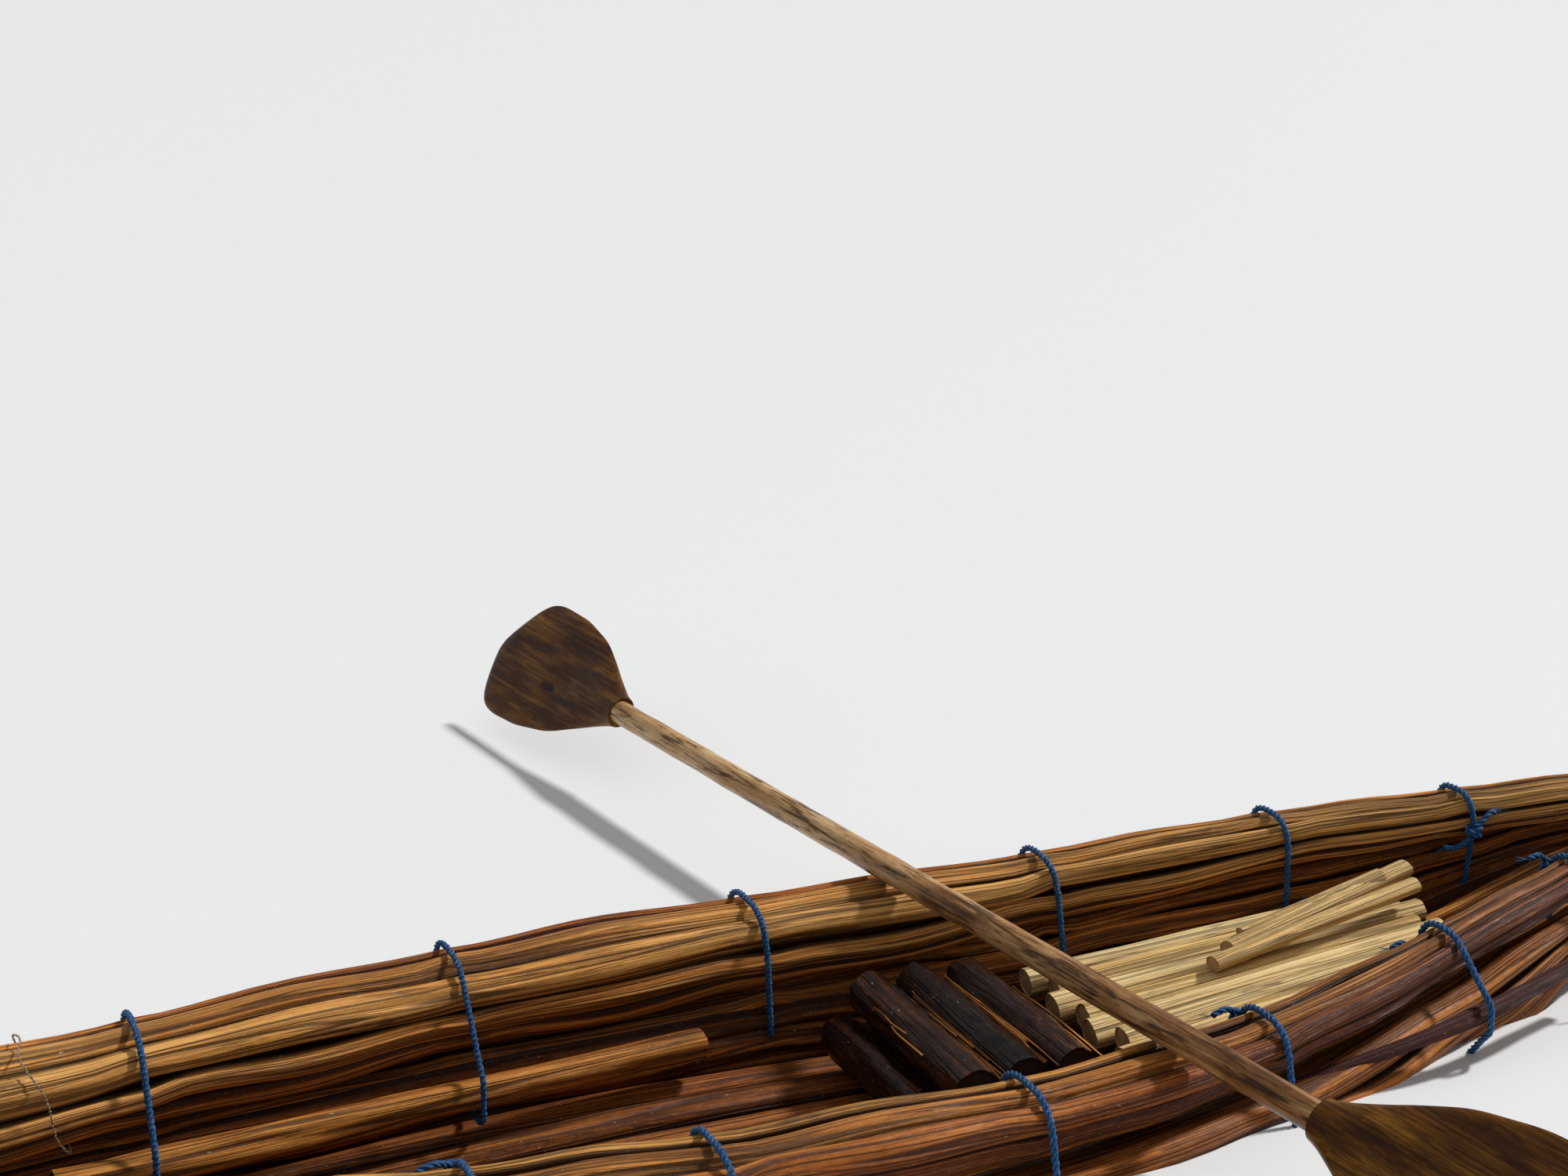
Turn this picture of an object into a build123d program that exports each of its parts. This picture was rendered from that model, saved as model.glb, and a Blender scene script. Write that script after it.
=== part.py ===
from build123d import *
import math
import os

# A one-man papyrus reed boat, in millimetres. X runs forward to the bow, Y to port, Z up from the lowest reeds.
# Plan, keel and sheer are straight runs and arcs, and every bundle fills its own cell between those lines.

# Hull lines
BOW_TIP = 1850
STERN_TIP = -1850
WIDEST_X = -500
WIDEST = 356
BOW_PLAN_RADIUS = 2900
BOW_TAPER_X = 0
BOW_TAPER = 0.160
STERN_PLAN_RADIUS = 2060
STERN_TAPER_X = -1200
STERN_TAPER = 0.340
BOW_ROCKER_X = 650
BOW_ROCKER_RADIUS = 1400
BOW_STEM_X = 1500
STERN_ROCKER_X = -1050
STERN_ROCKER_RADIUS = 1111
DEPTH = 320
BOW_SHEER_X = 500
BOW_SHEER_RADIUS = 3080
STERN_SHEER_X = -650
STARBOARD_STERN_SHEER_RADIUS = 3150
PORT_STERN_SHEER_RADIUS = 5200
STERN_SHEER_END_X = -1200
STERN_SHEER_SLOPE = 0.10

# Bundle sizes along the hull, as (x, size)
RAFT_HEIGHTS = (
    (STERN_TIP, 55),
    (-1550, 170),
    (-1250, 165),
    (-900, 140),
    (600, 140),
    (1200, 168),
    (1480, 112),
    (1600, 84),
    (BOW_TIP, 52),
)
GUNWALE_WIDTHS = (
    (STERN_TIP, 50),
    (-1350, 74),
    (-1100, 92),
    (WIDEST_X, 132),
    (BOW_ROCKER_X, 132),
    (BOW_TIP, 48),
)
CENTRE_HALF_WIDTH = 75
CENTRE_TIP_HALF_WIDTH = 18
CENTRE_SHARE = 0.42
RAFT_SHARE = 0.92
BILGE_LIFT = 14
SIDE_INNER_SHARE = 0.62
SIDE_FLARE = 1.06
SEAM_RISE = 0.36
GUNWALE_FLATNESS = 0.92
SEAM = 2
SIDE_SEAM = 4
RAFT_ENDS = (-1720, 1600)
PORT_SIDE_ENDS = (-1520, 1500)
STARBOARD_SIDE_ENDS = (-1640, 1500)
PORT_GUNWALE_ENDS = (-1500, 1680)
STARBOARD_GUNWALE_ENDS = (-1740, 1680)

# Where rope ties waist the bundles: round the whole hull, and on one side only
COMMON_TIES = (-1465, -1235, -950, 180, 560, 940, 1320)
PORT_TIES = (-640, -300, -60)
STARBOARD_TIES = (-570, -190)
STARBOARD_END_TIE = -1690

# Reeds on the eight edges of a bundle's outline, 0 where it lies plain against its neighbour:
# bottom, outer bilge, outer face, outer shoulder, top, inner shoulder, inner face, inner bilge
GUNWALE_REEDS = (0, 1, 1, 1, 2, 1, 1, 1)
SIDE_REEDS = (0, 1, 1, 1, 0, 0, 1, 1)
RAFT_REEDS = (3, 1, 1, 1, 3, 0, 0, 0)
CENTRE_REEDS = (3, 0, 0, 0, 3, 0, 0, 0)
GUNWALE_CORNER = 0.52
SIDE_CORNER = 0.42
RAFT_CORNER = 0.22
CENTRE_CORNER = 0.06
REED_BULGE = 0.17
REED_SHOULDER = 0.26
PINCH = 0.87

# Reeds that rise over the raft to the stern, as (forward end, aft end, distance to port at the forward end,
# at the middle station and at the aft end)
FAN_MIDDLE_X = -1600
STERN_FAN = (
    (-1388, -1680, -50, -40, -31),
    (-1404, -1800, -21, -13, -11),
    (-1380, -1845, 6, 12, 9),
    (-1396, -1765, 33, 36, 28),
    (-1410, -1690, 60, 58, 50),
)
FAN_DATUM_X = -1380
FAN_REED_RADIUS = 12.2
FAN_REED_TAPER = 0.011
FAN_SLOPE_REACH = 1.6
FAN_SEAM = 7

# Seat of short logs across the raft
SEAT_FORWARD_X = -640
LOG_DIAMETER = 60
LOG_GAP = 2
LOG_FLATS = 10
LOWER_LOGS = 4
LOG_LENGTHS = (352, 340, 356, 330, 318, 332, 322)
LOG_LIFT = 9

# Load deck: reeds laid lengthwise on two cross bearers
BEARERS = (-1000, -1180)
BEARER_DIAMETER = 58
BEARER_HALF_LENGTHS = (178, 126)
DECK_REED_RADIUS = 19.5
DECK_REED_TAPER = 0.0105
DECK_FAN_X = -2760
DECK_DATUM_X = -880
# Reeds of each third of the deck, as (forward end, aft end, distance to port at the datum)
DECK_REEDS = {
    "deck_starboard": ((-872, -1262, -140), (-890, -1352, -100), (-866, -1368, -60)),
    "deck_middle": ((-884, -1340, -20), (-870, -1356, 20)),
    "deck_port": ((-892, -1330, 60), (-868, -1306, 100), (-880, -1252, 140)),
}

# Single reeds, as their two ends and the radius at each
STEM_FLATS = 10
INNER_REED = (((282, -126, 189), (-470, -196, 189)), (21, 19))
SIDE_STALK = (((-1000, 331, 266), (-1432, 196, 292)), (12, 10))

# Double paddle laid across the gunwales, resting on them at these (x, y)
PADDLE_RESTS = ((-745, -290), (-817, 290))
PADDLE_PORT_ROOT = 170
PADDLE_STARBOARD_ROOT = -1230
SHAFT_DIAMETER = 34
SHAFT_FLATS = 14
PADDLE_ROLL = math.radians(48)
SOCKET_DEPTH = 60
SOCKET_DIAMETER = 46
SOCKET_LENGTH = 250
SOCKET_TIP_DIAMETER = 12
BLADE_THICKNESS = 14
BLADE_BEVEL = 40
# The blade's edge, as (distance from the root, half width)
BLADE_EDGE = ((30, 17), (70, 24), (130, 50), (200, 80), (290, 97), (380, 100), (430, 88), (465, 48))

# Rope
ROPE = 8
GIRTH_ROPE = 5
ROPE_CLEARANCE = 2
ROPE_SLACK = 1
BINDING_CLEARANCE = 4
BINDING_TURNS = 3
BINDING_PITCH = 12
BOW_BINDING_X = 1545
STERN_BINDING_X = -1660


def arc_drop(run, radius):
    """How far an arc has left its tangent after a run along it."""
    return radius - math.sqrt(radius**2 - run**2)


def arc_slope(run, radius):
    return run / math.sqrt(radius**2 - run**2)


def half_beam(x):
    """The gunwale's outer face in plan: two arcs that meet at the widest station, with straight tapers to the tips."""
    if x >= BOW_TAPER_X:
        start = WIDEST - arc_drop(BOW_TAPER_X - WIDEST_X, BOW_PLAN_RADIUS)
        return start - BOW_TAPER * (x - BOW_TAPER_X)
    if x >= WIDEST_X:
        return WIDEST - arc_drop(x - WIDEST_X, BOW_PLAN_RADIUS)
    if x >= STERN_TAPER_X:
        return WIDEST - arc_drop(WIDEST_X - x, STERN_PLAN_RADIUS)
    start = WIDEST - arc_drop(WIDEST_X - STERN_TAPER_X, STERN_PLAN_RADIUS)
    return start - STERN_TAPER * (STERN_TAPER_X - x)


def keel(x):
    """The underside: flat amidships, an arc up to each end and a straight stem at the bow."""
    if x > BOW_STEM_X:
        run = BOW_STEM_X - BOW_ROCKER_X
        rise = arc_drop(run, BOW_ROCKER_RADIUS)
        return rise + arc_slope(run, BOW_ROCKER_RADIUS) * (x - BOW_STEM_X)
    if x > BOW_ROCKER_X:
        return arc_drop(x - BOW_ROCKER_X, BOW_ROCKER_RADIUS)
    if x < STERN_ROCKER_X:
        return arc_drop(STERN_ROCKER_X - x, STERN_ROCKER_RADIUS)
    return 0


def sheer(x, side):
    """The top of a gunwale bundle: the port one, side 1, rises less to the stern."""
    if x > BOW_SHEER_X:
        return DEPTH + arc_drop(x - BOW_SHEER_X, BOW_SHEER_RADIUS)
    if x < STERN_SHEER_X:
        run = STERN_SHEER_X - max(x, STERN_SHEER_END_X)
        rise = arc_drop(run, PORT_STERN_SHEER_RADIUS if side > 0 else STARBOARD_STERN_SHEER_RADIUS)
        return DEPTH + rise + STERN_SHEER_SLOPE * max(STERN_SHEER_END_X - x, 0)
    return DEPTH


def blend(x, stations):
    """A value read along straight lines between (x, value) stations."""
    for (x0, v0), (x1, v1) in zip(stations, stations[1:]):
        if x <= x1:
            return v0 + (v1 - v0) * max(x - x0, 0) / (x1 - x0)
    return stations[-1][1]


def centre_half_width(x):
    return max(CENTRE_TIP_HALF_WIDTH, min(CENTRE_HALF_WIDTH, CENTRE_SHARE * half_beam(x)))


def raft_top(x):
    return keel(x) + blend(x, RAFT_HEIGHTS)


def bilge_lift(x):
    """How far the raft's outer edge sits above its middle."""
    return BILGE_LIFT * half_beam(x) / WIDEST


def gunwale_floor(x, side):
    return sheer(x, side) - GUNWALE_FLATNESS * blend(x, GUNWALE_WIDTHS)


def seam_rise(x):
    """How far the seam between side and gunwale climbs outboard."""
    return SEAM_RISE * blend(x, GUNWALE_WIDTHS)


# A cell is the four corners that a bundle may fill at a station, as (across, up):
# inner low, outer low, outer top, inner top
def centre_cell(x, side):
    half, low, top = centre_half_width(x), keel(x), raft_top(x)
    return (-half, low), (half, low), (half, top), (-half, top)


def raft_cell(x, side):
    inner, outer = centre_half_width(x) + SEAM, RAFT_SHARE * half_beam(x)
    low, top, lift = keel(x), raft_top(x), bilge_lift(x)
    return (inner, low), (outer, low + lift), (outer, top + lift), (inner, top)


def side_cell(x, side):
    inner = max(SIDE_INNER_SHARE * half_beam(x), centre_half_width(x) + SEAM)
    outer = SIDE_FLARE * half_beam(x)
    low, top = raft_top(x) + bilge_lift(x) + SIDE_SEAM, gunwale_floor(x, side)
    return (inner, low), (outer, low), (outer, top + seam_rise(x)), (inner, top)


def gunwale_cell(x, side):
    outer = half_beam(x)
    inner = max(outer - blend(x, GUNWALE_WIDTHS), SEAM)
    low, top = gunwale_floor(x, side) + SEAM, sheer(x, side)
    return (inner, low), (outer, low + seam_rise(x)), (outer, top), (inner, top)


def fan_radius(x):
    return FAN_REED_RADIUS + FAN_REED_TAPER * (x - FAN_DATUM_X)


def on_raft(x, y, radius):
    """The axis point of a reed that lies on the raft."""
    return x, y, raft_top(x) + bilge_lift(x) + FAN_SEAM + radius


def deck_floor(x):
    """The line of the bearers' tops, which the load deck lies on."""
    fore, aft = BEARERS
    tops = [raft_top(bearer) + LOG_LIFT + BEARER_DIAMETER + SEAM for bearer in BEARERS]
    return tops[0] + (tops[1] - tops[0]) * (x - fore) / (aft - fore)


def into_cell(point, cell):
    """A point of a square of half-width 1, carried into a cell's own corners."""
    a, b = (1 + point[0]) / 2, (1 + point[1]) / 2
    (x0, y0), (x1, y1), (x2, y2), (x3, y3) = cell
    return (
        (1 - b) * ((1 - a) * x0 + a * x1) + b * ((1 - a) * x3 + a * x2),
        (1 - b) * ((1 - a) * y0 + a * y1) + b * ((1 - a) * y3 + a * y2),
    )


def between(p, q, share):
    return p[0] + (q[0] - p[0]) * share, p[1] + (q[1] - p[1]) * share


def square_points(reeds, corner, aspect):
    """A bundle's outline on a square with cut corners, where each reed stands proud of its two grooves."""
    e = 1 - corner
    corners = ((-e, -1), (e, -1), (1, -e), (1, e), (e, 1), (-e, 1), (-1, e), (-1, -e))
    points = []
    for count, p, q in zip(reeds, corners, corners[1:] + corners[:1]):
        if not count:
            points.append(p)
            continue
        for i in range(count):
            start, end = between(p, q, i / count), between(p, q, (i + 1) / count)
            out_u = REED_BULGE * (end[1] - start[1]) / aspect
            out_v = REED_BULGE * (start[0] - end[0]) * aspect
            points.append(start)
            for share in (REED_SHOULDER, 1 - REED_SHOULDER):
                u, v = between(start, end, share)
                points.append((u + out_u, v + out_v))
    return points


def outline(cell, reeds, corner, pinch=1):
    """A bundle's outline, filling its cell, or drawn in from it by a tie."""
    aspect = math.dist(cell[0], cell[1]) / math.dist(cell[1], cell[2])
    square = square_points(reeds, corner, aspect)
    lows = [min(point[axis] for point in square) for axis in (0, 1)]
    highs = [max(point[axis] for point in square) for axis in (0, 1)]
    filled = [[pinch * (2 * p[i] - lows[i] - highs[i]) / (highs[i] - lows[i]) for i in (0, 1)] for p in square]
    return [into_cell(point, cell) for point in filled]


def station_plane(x, side=1):
    """A plane across the boat whose first axis points outboard on that side."""
    return Plane(origin=(x, 0, 0), x_dir=(0, side, 0), z_dir=(side, 0, 0))


def with_middles(ends, ties):
    """Stations of a bundle: its ends, its ties and a fuller section midway between each two."""
    inside = [x for x in sorted(ties) if ends[0] < x < ends[1]]
    marks = [ends[0], *inside, ends[1]]
    middles = [(a + b) / 2 for a, b in zip(marks, marks[1:])]
    return sorted([(x, x in inside) for x in marks] + [(x, False) for x in middles])


def section_face(plane, points):
    with BuildSketch(plane) as section:
        with BuildLine():
            Polyline(*points, close=True)
        make_face()
    return section.sketch


def reed_bundle(label, cell_of, stations, reeds, corner, side=1):
    """A bundle of reeds: a ruled loft through scalloped sections, waisted where a tie grips it."""
    sections = []
    for x, tied in stations:
        points = outline(cell_of(x, side), reeds, corner, PINCH if tied else 1)
        sections.append(section_face(station_plane(x, side), points))
    with BuildPart() as bundle:
        loft(sections=sections, ruled=True)
    finished(bundle, label)


def tight_round(points):
    """The corners of the tightest loop round some points, anticlockwise, without those that barely turn it."""
    ordered = sorted(set(points))
    corners = []
    for run in (ordered, ordered[::-1]):
        start = len(corners)
        for c in run:
            while len(corners) - start > 1:
                a, b = corners[-2], corners[-1]
                if (b[0] - a[0]) * (c[1] - a[1]) > (b[1] - a[1]) * (c[0] - a[0]):
                    break
                corners.pop()
            corners.append(c)
        corners.pop()
    kept = [corners[0]]
    for (x, y), (next_x, next_y) in zip(corners[1:], corners[2:] + corners[:1]):
        last_x, last_y = kept[-1]
        twice_area = (next_x - last_x) * (y - last_y) - (next_y - last_y) * (x - last_x)
        if abs(twice_area) > ROPE_SLACK * math.dist(kept[-1], (next_x, next_y)):
            kept.append((x, y))
    return kept


def rope_loops(label, rope, clearance, loops):
    """Ropes drawn tight round bundles, as one node, from (x, side, points) for each."""
    with BuildPart() as ropes:
        for x, side, points in loops:
            with BuildSketch(station_plane(x, side)):
                with BuildLine():
                    Polyline(*tight_round(points), close=True)
                make_face()
                offset(amount=clearance + rope, kind=Kind.INTERSECTION)
                offset(amount=-rope, kind=Kind.INTERSECTION, mode=Mode.SUBTRACT)
            extrude(amount=rope / 2, both=True)
    finished(ropes, label)


OUTLINES = {
    "centre": (centre_cell, CENTRE_REEDS, CENTRE_CORNER),
    "raft": (raft_cell, RAFT_REEDS, RAFT_CORNER),
    "side": (side_cell, SIDE_REEDS, SIDE_CORNER),
    "gunwale": (gunwale_cell, GUNWALE_REEDS, GUNWALE_CORNER),
}


def outlines(x, names, side, pinch=PINCH):
    """The outline points of the named bundles at a station, as (outboard, up) on that side."""
    shapes = [OUTLINES[name] for name in names]
    return [
        point for cell_of, reeds, corner in shapes for point in outline(cell_of(x, side), reeds, corner, pinch)
    ]


def across_boat(port_points, starboard_points):
    """Outline points of the two sides, as (port, up)."""
    return port_points + [(-outboard, up) for outboard, up in starboard_points]


def stem(places, radii):
    """One tapering stem through points along its axis, inside the part being built."""
    points = [Vector(*place) for place in places]
    runs = [(b - a).normalized() for a, b in zip(points, points[1:])]
    headings = [runs[0], *[(a + b).normalized() for a, b in zip(runs, runs[1:])], runs[-1]]
    sections = []
    for point, heading, radius in zip(points, headings, radii):
        with BuildSketch(Plane(origin=point, x_dir=Vector(0, 0, 1).cross(heading), z_dir=heading)) as section:
            RegularPolygon(radius, STEM_FLATS)
        sections.append(section.sketch)
    loft(sections=sections, ruled=True)


def finished(part, label):
    part.part.label = label
    export_step(part.part, f"parts/{label}.step")


os.makedirs("parts", exist_ok=True)

# Hull bundles
tips = [(STERN_TIP, False), (BOW_TIP, False)]
centre_stations = sorted(with_middles(RAFT_ENDS, COMMON_TIES) + tips)
reed_bundle("raft_centre", centre_cell, centre_stations, CENTRE_REEDS, CENTRE_CORNER)
for name, side, own_ties, side_ends, gunwale_ends in (
    ("port", 1, PORT_TIES, PORT_SIDE_ENDS, PORT_GUNWALE_ENDS),
    ("starboard", -1, STARBOARD_TIES, STARBOARD_SIDE_ENDS, STARBOARD_GUNWALE_ENDS),
):
    ties = COMMON_TIES + own_ties
    gunwale_ties = ties + (STARBOARD_END_TIE,)
    reed_bundle(f"raft_{name}", raft_cell, with_middles(RAFT_ENDS, ties), RAFT_REEDS, RAFT_CORNER, side)
    reed_bundle(f"{name}_side", side_cell, with_middles(side_ends, ties), SIDE_REEDS, SIDE_CORNER, side)
    stations = with_middles(gunwale_ends, gunwale_ties)
    reed_bundle(f"{name}_gunwale", gunwale_cell, stations, GUNWALE_REEDS, GUNWALE_CORNER, side)
with BuildPart() as fan:
    for forward, aft, *offsets in STERN_FAN:
        xs = (forward, FAN_MIDDLE_X, aft)
        radii = [fan_radius(x) for x in xs]
        stem([on_raft(*place) for place in zip(xs, offsets, radii)], radii)
finished(fan, "stern_fan")


def reed_points(reed, x, side):
    """The corners that a single reed gives to a tie round it at a station, as (outboard, up)."""
    (start, end), (radius, _) = reed
    share = (x - start[0]) / (end[0] - start[0])
    if not 0 < share < 1:
        return []
    across, up = between(start[1:], end[1:], share)
    return [(side * across + right * radius, up + over * radius) for right in (-1, 1) for over in (-1, 1)]


def fan_points(x):
    """The tops of the stern reeds at a station, as (port, up)."""
    points = []
    for forward, aft, *offsets in STERN_FAN:
        if aft < x < forward:
            across = blend(x, list(zip((aft, FAN_MIDDLE_X, forward), reversed(offsets))))
            top = on_raft(x, across, fan_radius(x))[2] + fan_radius(x) * FAN_SLOPE_REACH
            points += [(across - fan_radius(x), top), (across + fan_radius(x), top)]
    return points


# Ropes
port_loops = [
    (x, 1, outlines(x, ("gunwale", "side"), 1) + reed_points(SIDE_STALK, x, 1))
    for x in sorted(COMMON_TIES + PORT_TIES)
]
starboard_loops = [
    (x, -1, outlines(x, ("gunwale", "side"), -1) + reed_points(INNER_REED, x, -1))
    for x in sorted(COMMON_TIES + STARBOARD_TIES)
]
starboard_loops.insert(0, (STARBOARD_END_TIE, -1, outlines(STARBOARD_END_TIE, ("gunwale",), -1)))
rope_loops("port_ties", ROPE, ROPE_CLEARANCE, port_loops)
rope_loops("starboard_ties", ROPE, ROPE_CLEARANCE, starboard_loops)
raft_names = ("centre", "raft")
girths = [(x, 1, across_boat(outlines(x, raft_names, 1), outlines(x, raft_names, -1))) for x in COMMON_TIES]
rope_loops("raft_girths", GIRTH_ROPE, ROPE_CLEARANCE, girths)
for label, middle, port_names, starboard_names in (
    ("bow_binding", BOW_BINDING_X, ("raft", "gunwale"), ("raft", "gunwale")),
    ("stern_binding", STERN_BINDING_X, ("centre", "raft"), ("raft", "gunwale")),
):
    turns = [middle + BINDING_PITCH * (i - (BINDING_TURNS - 1) / 2) for i in range(BINDING_TURNS)]
    loops = []
    for x in turns:
        port_points = outlines(x, port_names, 1, pinch=1) + fan_points(x)
        loops.append((x, 1, across_boat(port_points, outlines(x, starboard_names, -1, pinch=1))))
    rope_loops(label, ROPE, BINDING_CLEARANCE, loops)

# Seat
pitch = LOG_DIAMETER + LOG_GAP
lower_row = [(SEAT_FORWARD_X - pitch * i, 0) for i in range(LOWER_LOGS)]
upper_row = [(SEAT_FORWARD_X - pitch * (i + 0.5), pitch * math.sqrt(3) / 2) for i in range(LOWER_LOGS - 1)]
seat_floor = raft_top(SEAT_FORWARD_X) + LOG_LIFT + LOG_DIAMETER / 2
for label, row, lengths in (
    ("seat_lower_logs", lower_row, LOG_LENGTHS[:LOWER_LOGS]),
    ("seat_upper_logs", upper_row, LOG_LENGTHS[LOWER_LOGS:]),
):
    with BuildPart() as logs:
        for (x, up), length in zip(row, lengths):
            with BuildSketch(Plane(origin=(x, 0, seat_floor + up), z_dir=(0, 1, 0))):
                RegularPolygon(LOG_DIAMETER / 2, LOG_FLATS)
            extrude(amount=length / 2, both=True)
    finished(logs, label)

# Load deck
with BuildPart() as bearers:
    for x, half_length in zip(BEARERS, BEARER_HALF_LENGTHS):
        axis = (x, 0, raft_top(x) + LOG_LIFT + BEARER_DIAMETER / 2)
        with BuildSketch(Plane(origin=axis, z_dir=(0, 1, 0))):
            RegularPolygon(BEARER_DIAMETER / 2, LOG_FLATS)
        extrude(amount=half_length, both=True)
finished(bearers, "deck_bearers")
for label, reeds in DECK_REEDS.items():
    with BuildPart() as deck_reeds:
        for forward, aft, offset_at_datum in reeds:
            places, radii = [], []
            for x in (forward, aft):
                share = (x - DECK_FAN_X) / (DECK_DATUM_X - DECK_FAN_X)
                radii.append(DECK_REED_RADIUS + DECK_REED_TAPER * (x - DECK_DATUM_X))
                places.append((x, offset_at_datum * share, deck_floor(x) + radii[-1]))
            stem(places, radii)
    finished(deck_reeds, label)

# Single reeds
for label, reed in (("starboard_inner_reed", INNER_REED), ("port_side_stalk", SIDE_STALK)):
    with BuildPart() as single_reed:
        stem(*reed)
    finished(single_reed, label)

# Paddle
starboard_rest, port_rest = (
    Vector(x, y, sheer(x, math.copysign(1, y)) + SHAFT_DIAMETER / 2 + SEAM / 2) for x, y in PADDLE_RESTS
)
along = port_rest - starboard_rest
level = along.cross(Vector(0, 0, 1)).normalized()
blade_across = level * math.cos(PADDLE_ROLL) - Vector(0, 0, math.sin(PADDLE_ROLL))
shaft_plane = Plane(origin=port_rest, x_dir=blade_across, z_dir=along)
with BuildPart() as paddle_shaft:
    with BuildSketch(shaft_plane.offset(PADDLE_STARBOARD_ROOT - SOCKET_DEPTH)):
        RegularPolygon(SHAFT_DIAMETER / 2, SHAFT_FLATS)
    extrude(amount=PADDLE_PORT_ROOT - PADDLE_STARBOARD_ROOT + 2 * SOCKET_DEPTH)
finished(paddle_shaft, "paddle_shaft")
for label, root, outward in (
    ("paddle_port_blade", PADDLE_PORT_ROOT, 1),
    ("paddle_starboard_blade", PADDLE_STARBOARD_ROOT, -1),
):
    root_plane = shaft_plane.offset(root)
    face_plane = Plane(origin=root_plane.origin, x_dir=root_plane.z_dir * outward, z_dir=root_plane.y_dir)
    with BuildPart() as blade:
        with BuildSketch(face_plane):
            with BuildLine():
                edge = [(distance, half_width) for distance, half_width in BLADE_EDGE]
                Polyline(*edge, *[(distance, -half_width) for distance, half_width in reversed(edge)], close=True)
            make_face()
        extrude(amount=BLADE_THICKNESS / 2, both=True, taper=BLADE_BEVEL)
        with BuildSketch(root_plane) as socket_mouth:
            RegularPolygon(SOCKET_DIAMETER / 2, SHAFT_FLATS)
        with BuildSketch(root_plane.offset(outward * SOCKET_LENGTH)) as socket_tip:
            RegularPolygon(SOCKET_TIP_DIAMETER / 2, SHAFT_FLATS)
        loft(sections=[socket_mouth.sketch, socket_tip.sketch], ruled=True)
        with BuildSketch(root_plane):
            RegularPolygon(SHAFT_DIAMETER / 2, SHAFT_FLATS)
        extrude(amount=outward * SOCKET_DEPTH, mode=Mode.SUBTRACT)
    finished(blade, label)
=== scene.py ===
import math
import random

import bpy
import numpy as np
from mathutils import Matrix, Vector
from mathutils.geometry import convex_hull_2d


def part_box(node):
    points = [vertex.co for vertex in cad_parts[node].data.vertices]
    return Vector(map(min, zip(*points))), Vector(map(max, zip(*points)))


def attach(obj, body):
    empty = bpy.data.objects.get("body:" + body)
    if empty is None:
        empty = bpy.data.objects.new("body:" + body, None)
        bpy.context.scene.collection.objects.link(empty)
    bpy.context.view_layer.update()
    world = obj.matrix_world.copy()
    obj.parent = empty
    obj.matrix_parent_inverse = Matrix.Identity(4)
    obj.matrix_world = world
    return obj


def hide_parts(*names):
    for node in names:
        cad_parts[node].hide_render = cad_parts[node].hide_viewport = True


# A papyrus reed boat afloat, in metres. X runs forward to the bow, Y to port, Z up. Every bundle is made of
# single stems that are modelled straight, bent along the CAD bundle and gripped where its ties sit.

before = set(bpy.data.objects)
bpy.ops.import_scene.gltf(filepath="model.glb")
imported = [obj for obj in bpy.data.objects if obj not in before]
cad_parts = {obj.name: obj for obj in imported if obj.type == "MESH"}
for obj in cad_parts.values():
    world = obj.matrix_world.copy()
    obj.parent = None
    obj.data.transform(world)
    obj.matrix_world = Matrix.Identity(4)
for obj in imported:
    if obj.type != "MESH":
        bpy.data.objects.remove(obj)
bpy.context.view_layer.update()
random.seed(11)

WATERLINE = 0.225  # above the lowest reeds
BODY = "root"
INBOARD = {"port": -1, "starboard": 1}  # which way along Y the boat's middle lies
ALONG, ACROSS = 0, 1  # the boat's X and Y

# Camera of the photograph
CAMERA_PLACE = (0.60, 2.575, 1.549)
CAMERA_HEADING = (-0.391, -0.921)
CAMERA_PITCH = math.radians(15.19)
LENS_MM = 63
SENSOR_MM = 36

NUDGE = 2e-5  # points nearer than this along X are level
MERGE = 1e-5  # points nearer than this are one
LOOP_STEPS = 120  # points on the outline of a bundle's section
SHARP_FROM = math.radians(60)  # edges sharper than this aren't shaded smooth

# A stem as it is first modelled, straight along X
STEM_RADIUS = 0.025
RIM = 0.0014  # of rind round the pith
PITH_SUNK = RIM * 1.5
PITH_SLOT = 1  # of a stem's two materials, its rind and its pith
VARIETY_STEP = 0.9  # between unlike stems, in the texture of their folds

# Painted shade in the grooves of a stem and down its seams
GROOVE_SHADE_START = 0.0006  # how far under the rind a groove starts to take painted shade
GROOVE_SHADE_DEPTH = 0.0030  # how much further down the painted shade is darkest
SEAM_SHADE_FROM = 66  # where a bundled stem's sides start to take painted shade, in degrees off its outer line
SEAM_SHADE_SPREAD = 16  # degrees over which the painted shade deepens

# How stems lie in a bundle
THICKNESS = 0.92  # share of their width
OVERLAP = 0.93  # share of their width that goes round the bundle
BITE = 0.0025  # how far they stand out past the CAD outline under a tie
EVENED_SHARE = 0.9  # share of their width that their outward direction is evened over
DRIFT = 0.10  # how far aside they wander, as a share of their width
END_STAGGER = 0.03  # how unevenly their ends are cut

# Stations along a bundle
GRIP_MARGIN = 0.01  # ties nearer to its end than this don't grip it
SHOULDER = 0.028  # to either side of each grip
SHOULDER_MARGIN = 0.05  # shoulders nearer to its end than this are left out
LONG_RUN = 0.09  # longer runs between grips have a station halfway

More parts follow.
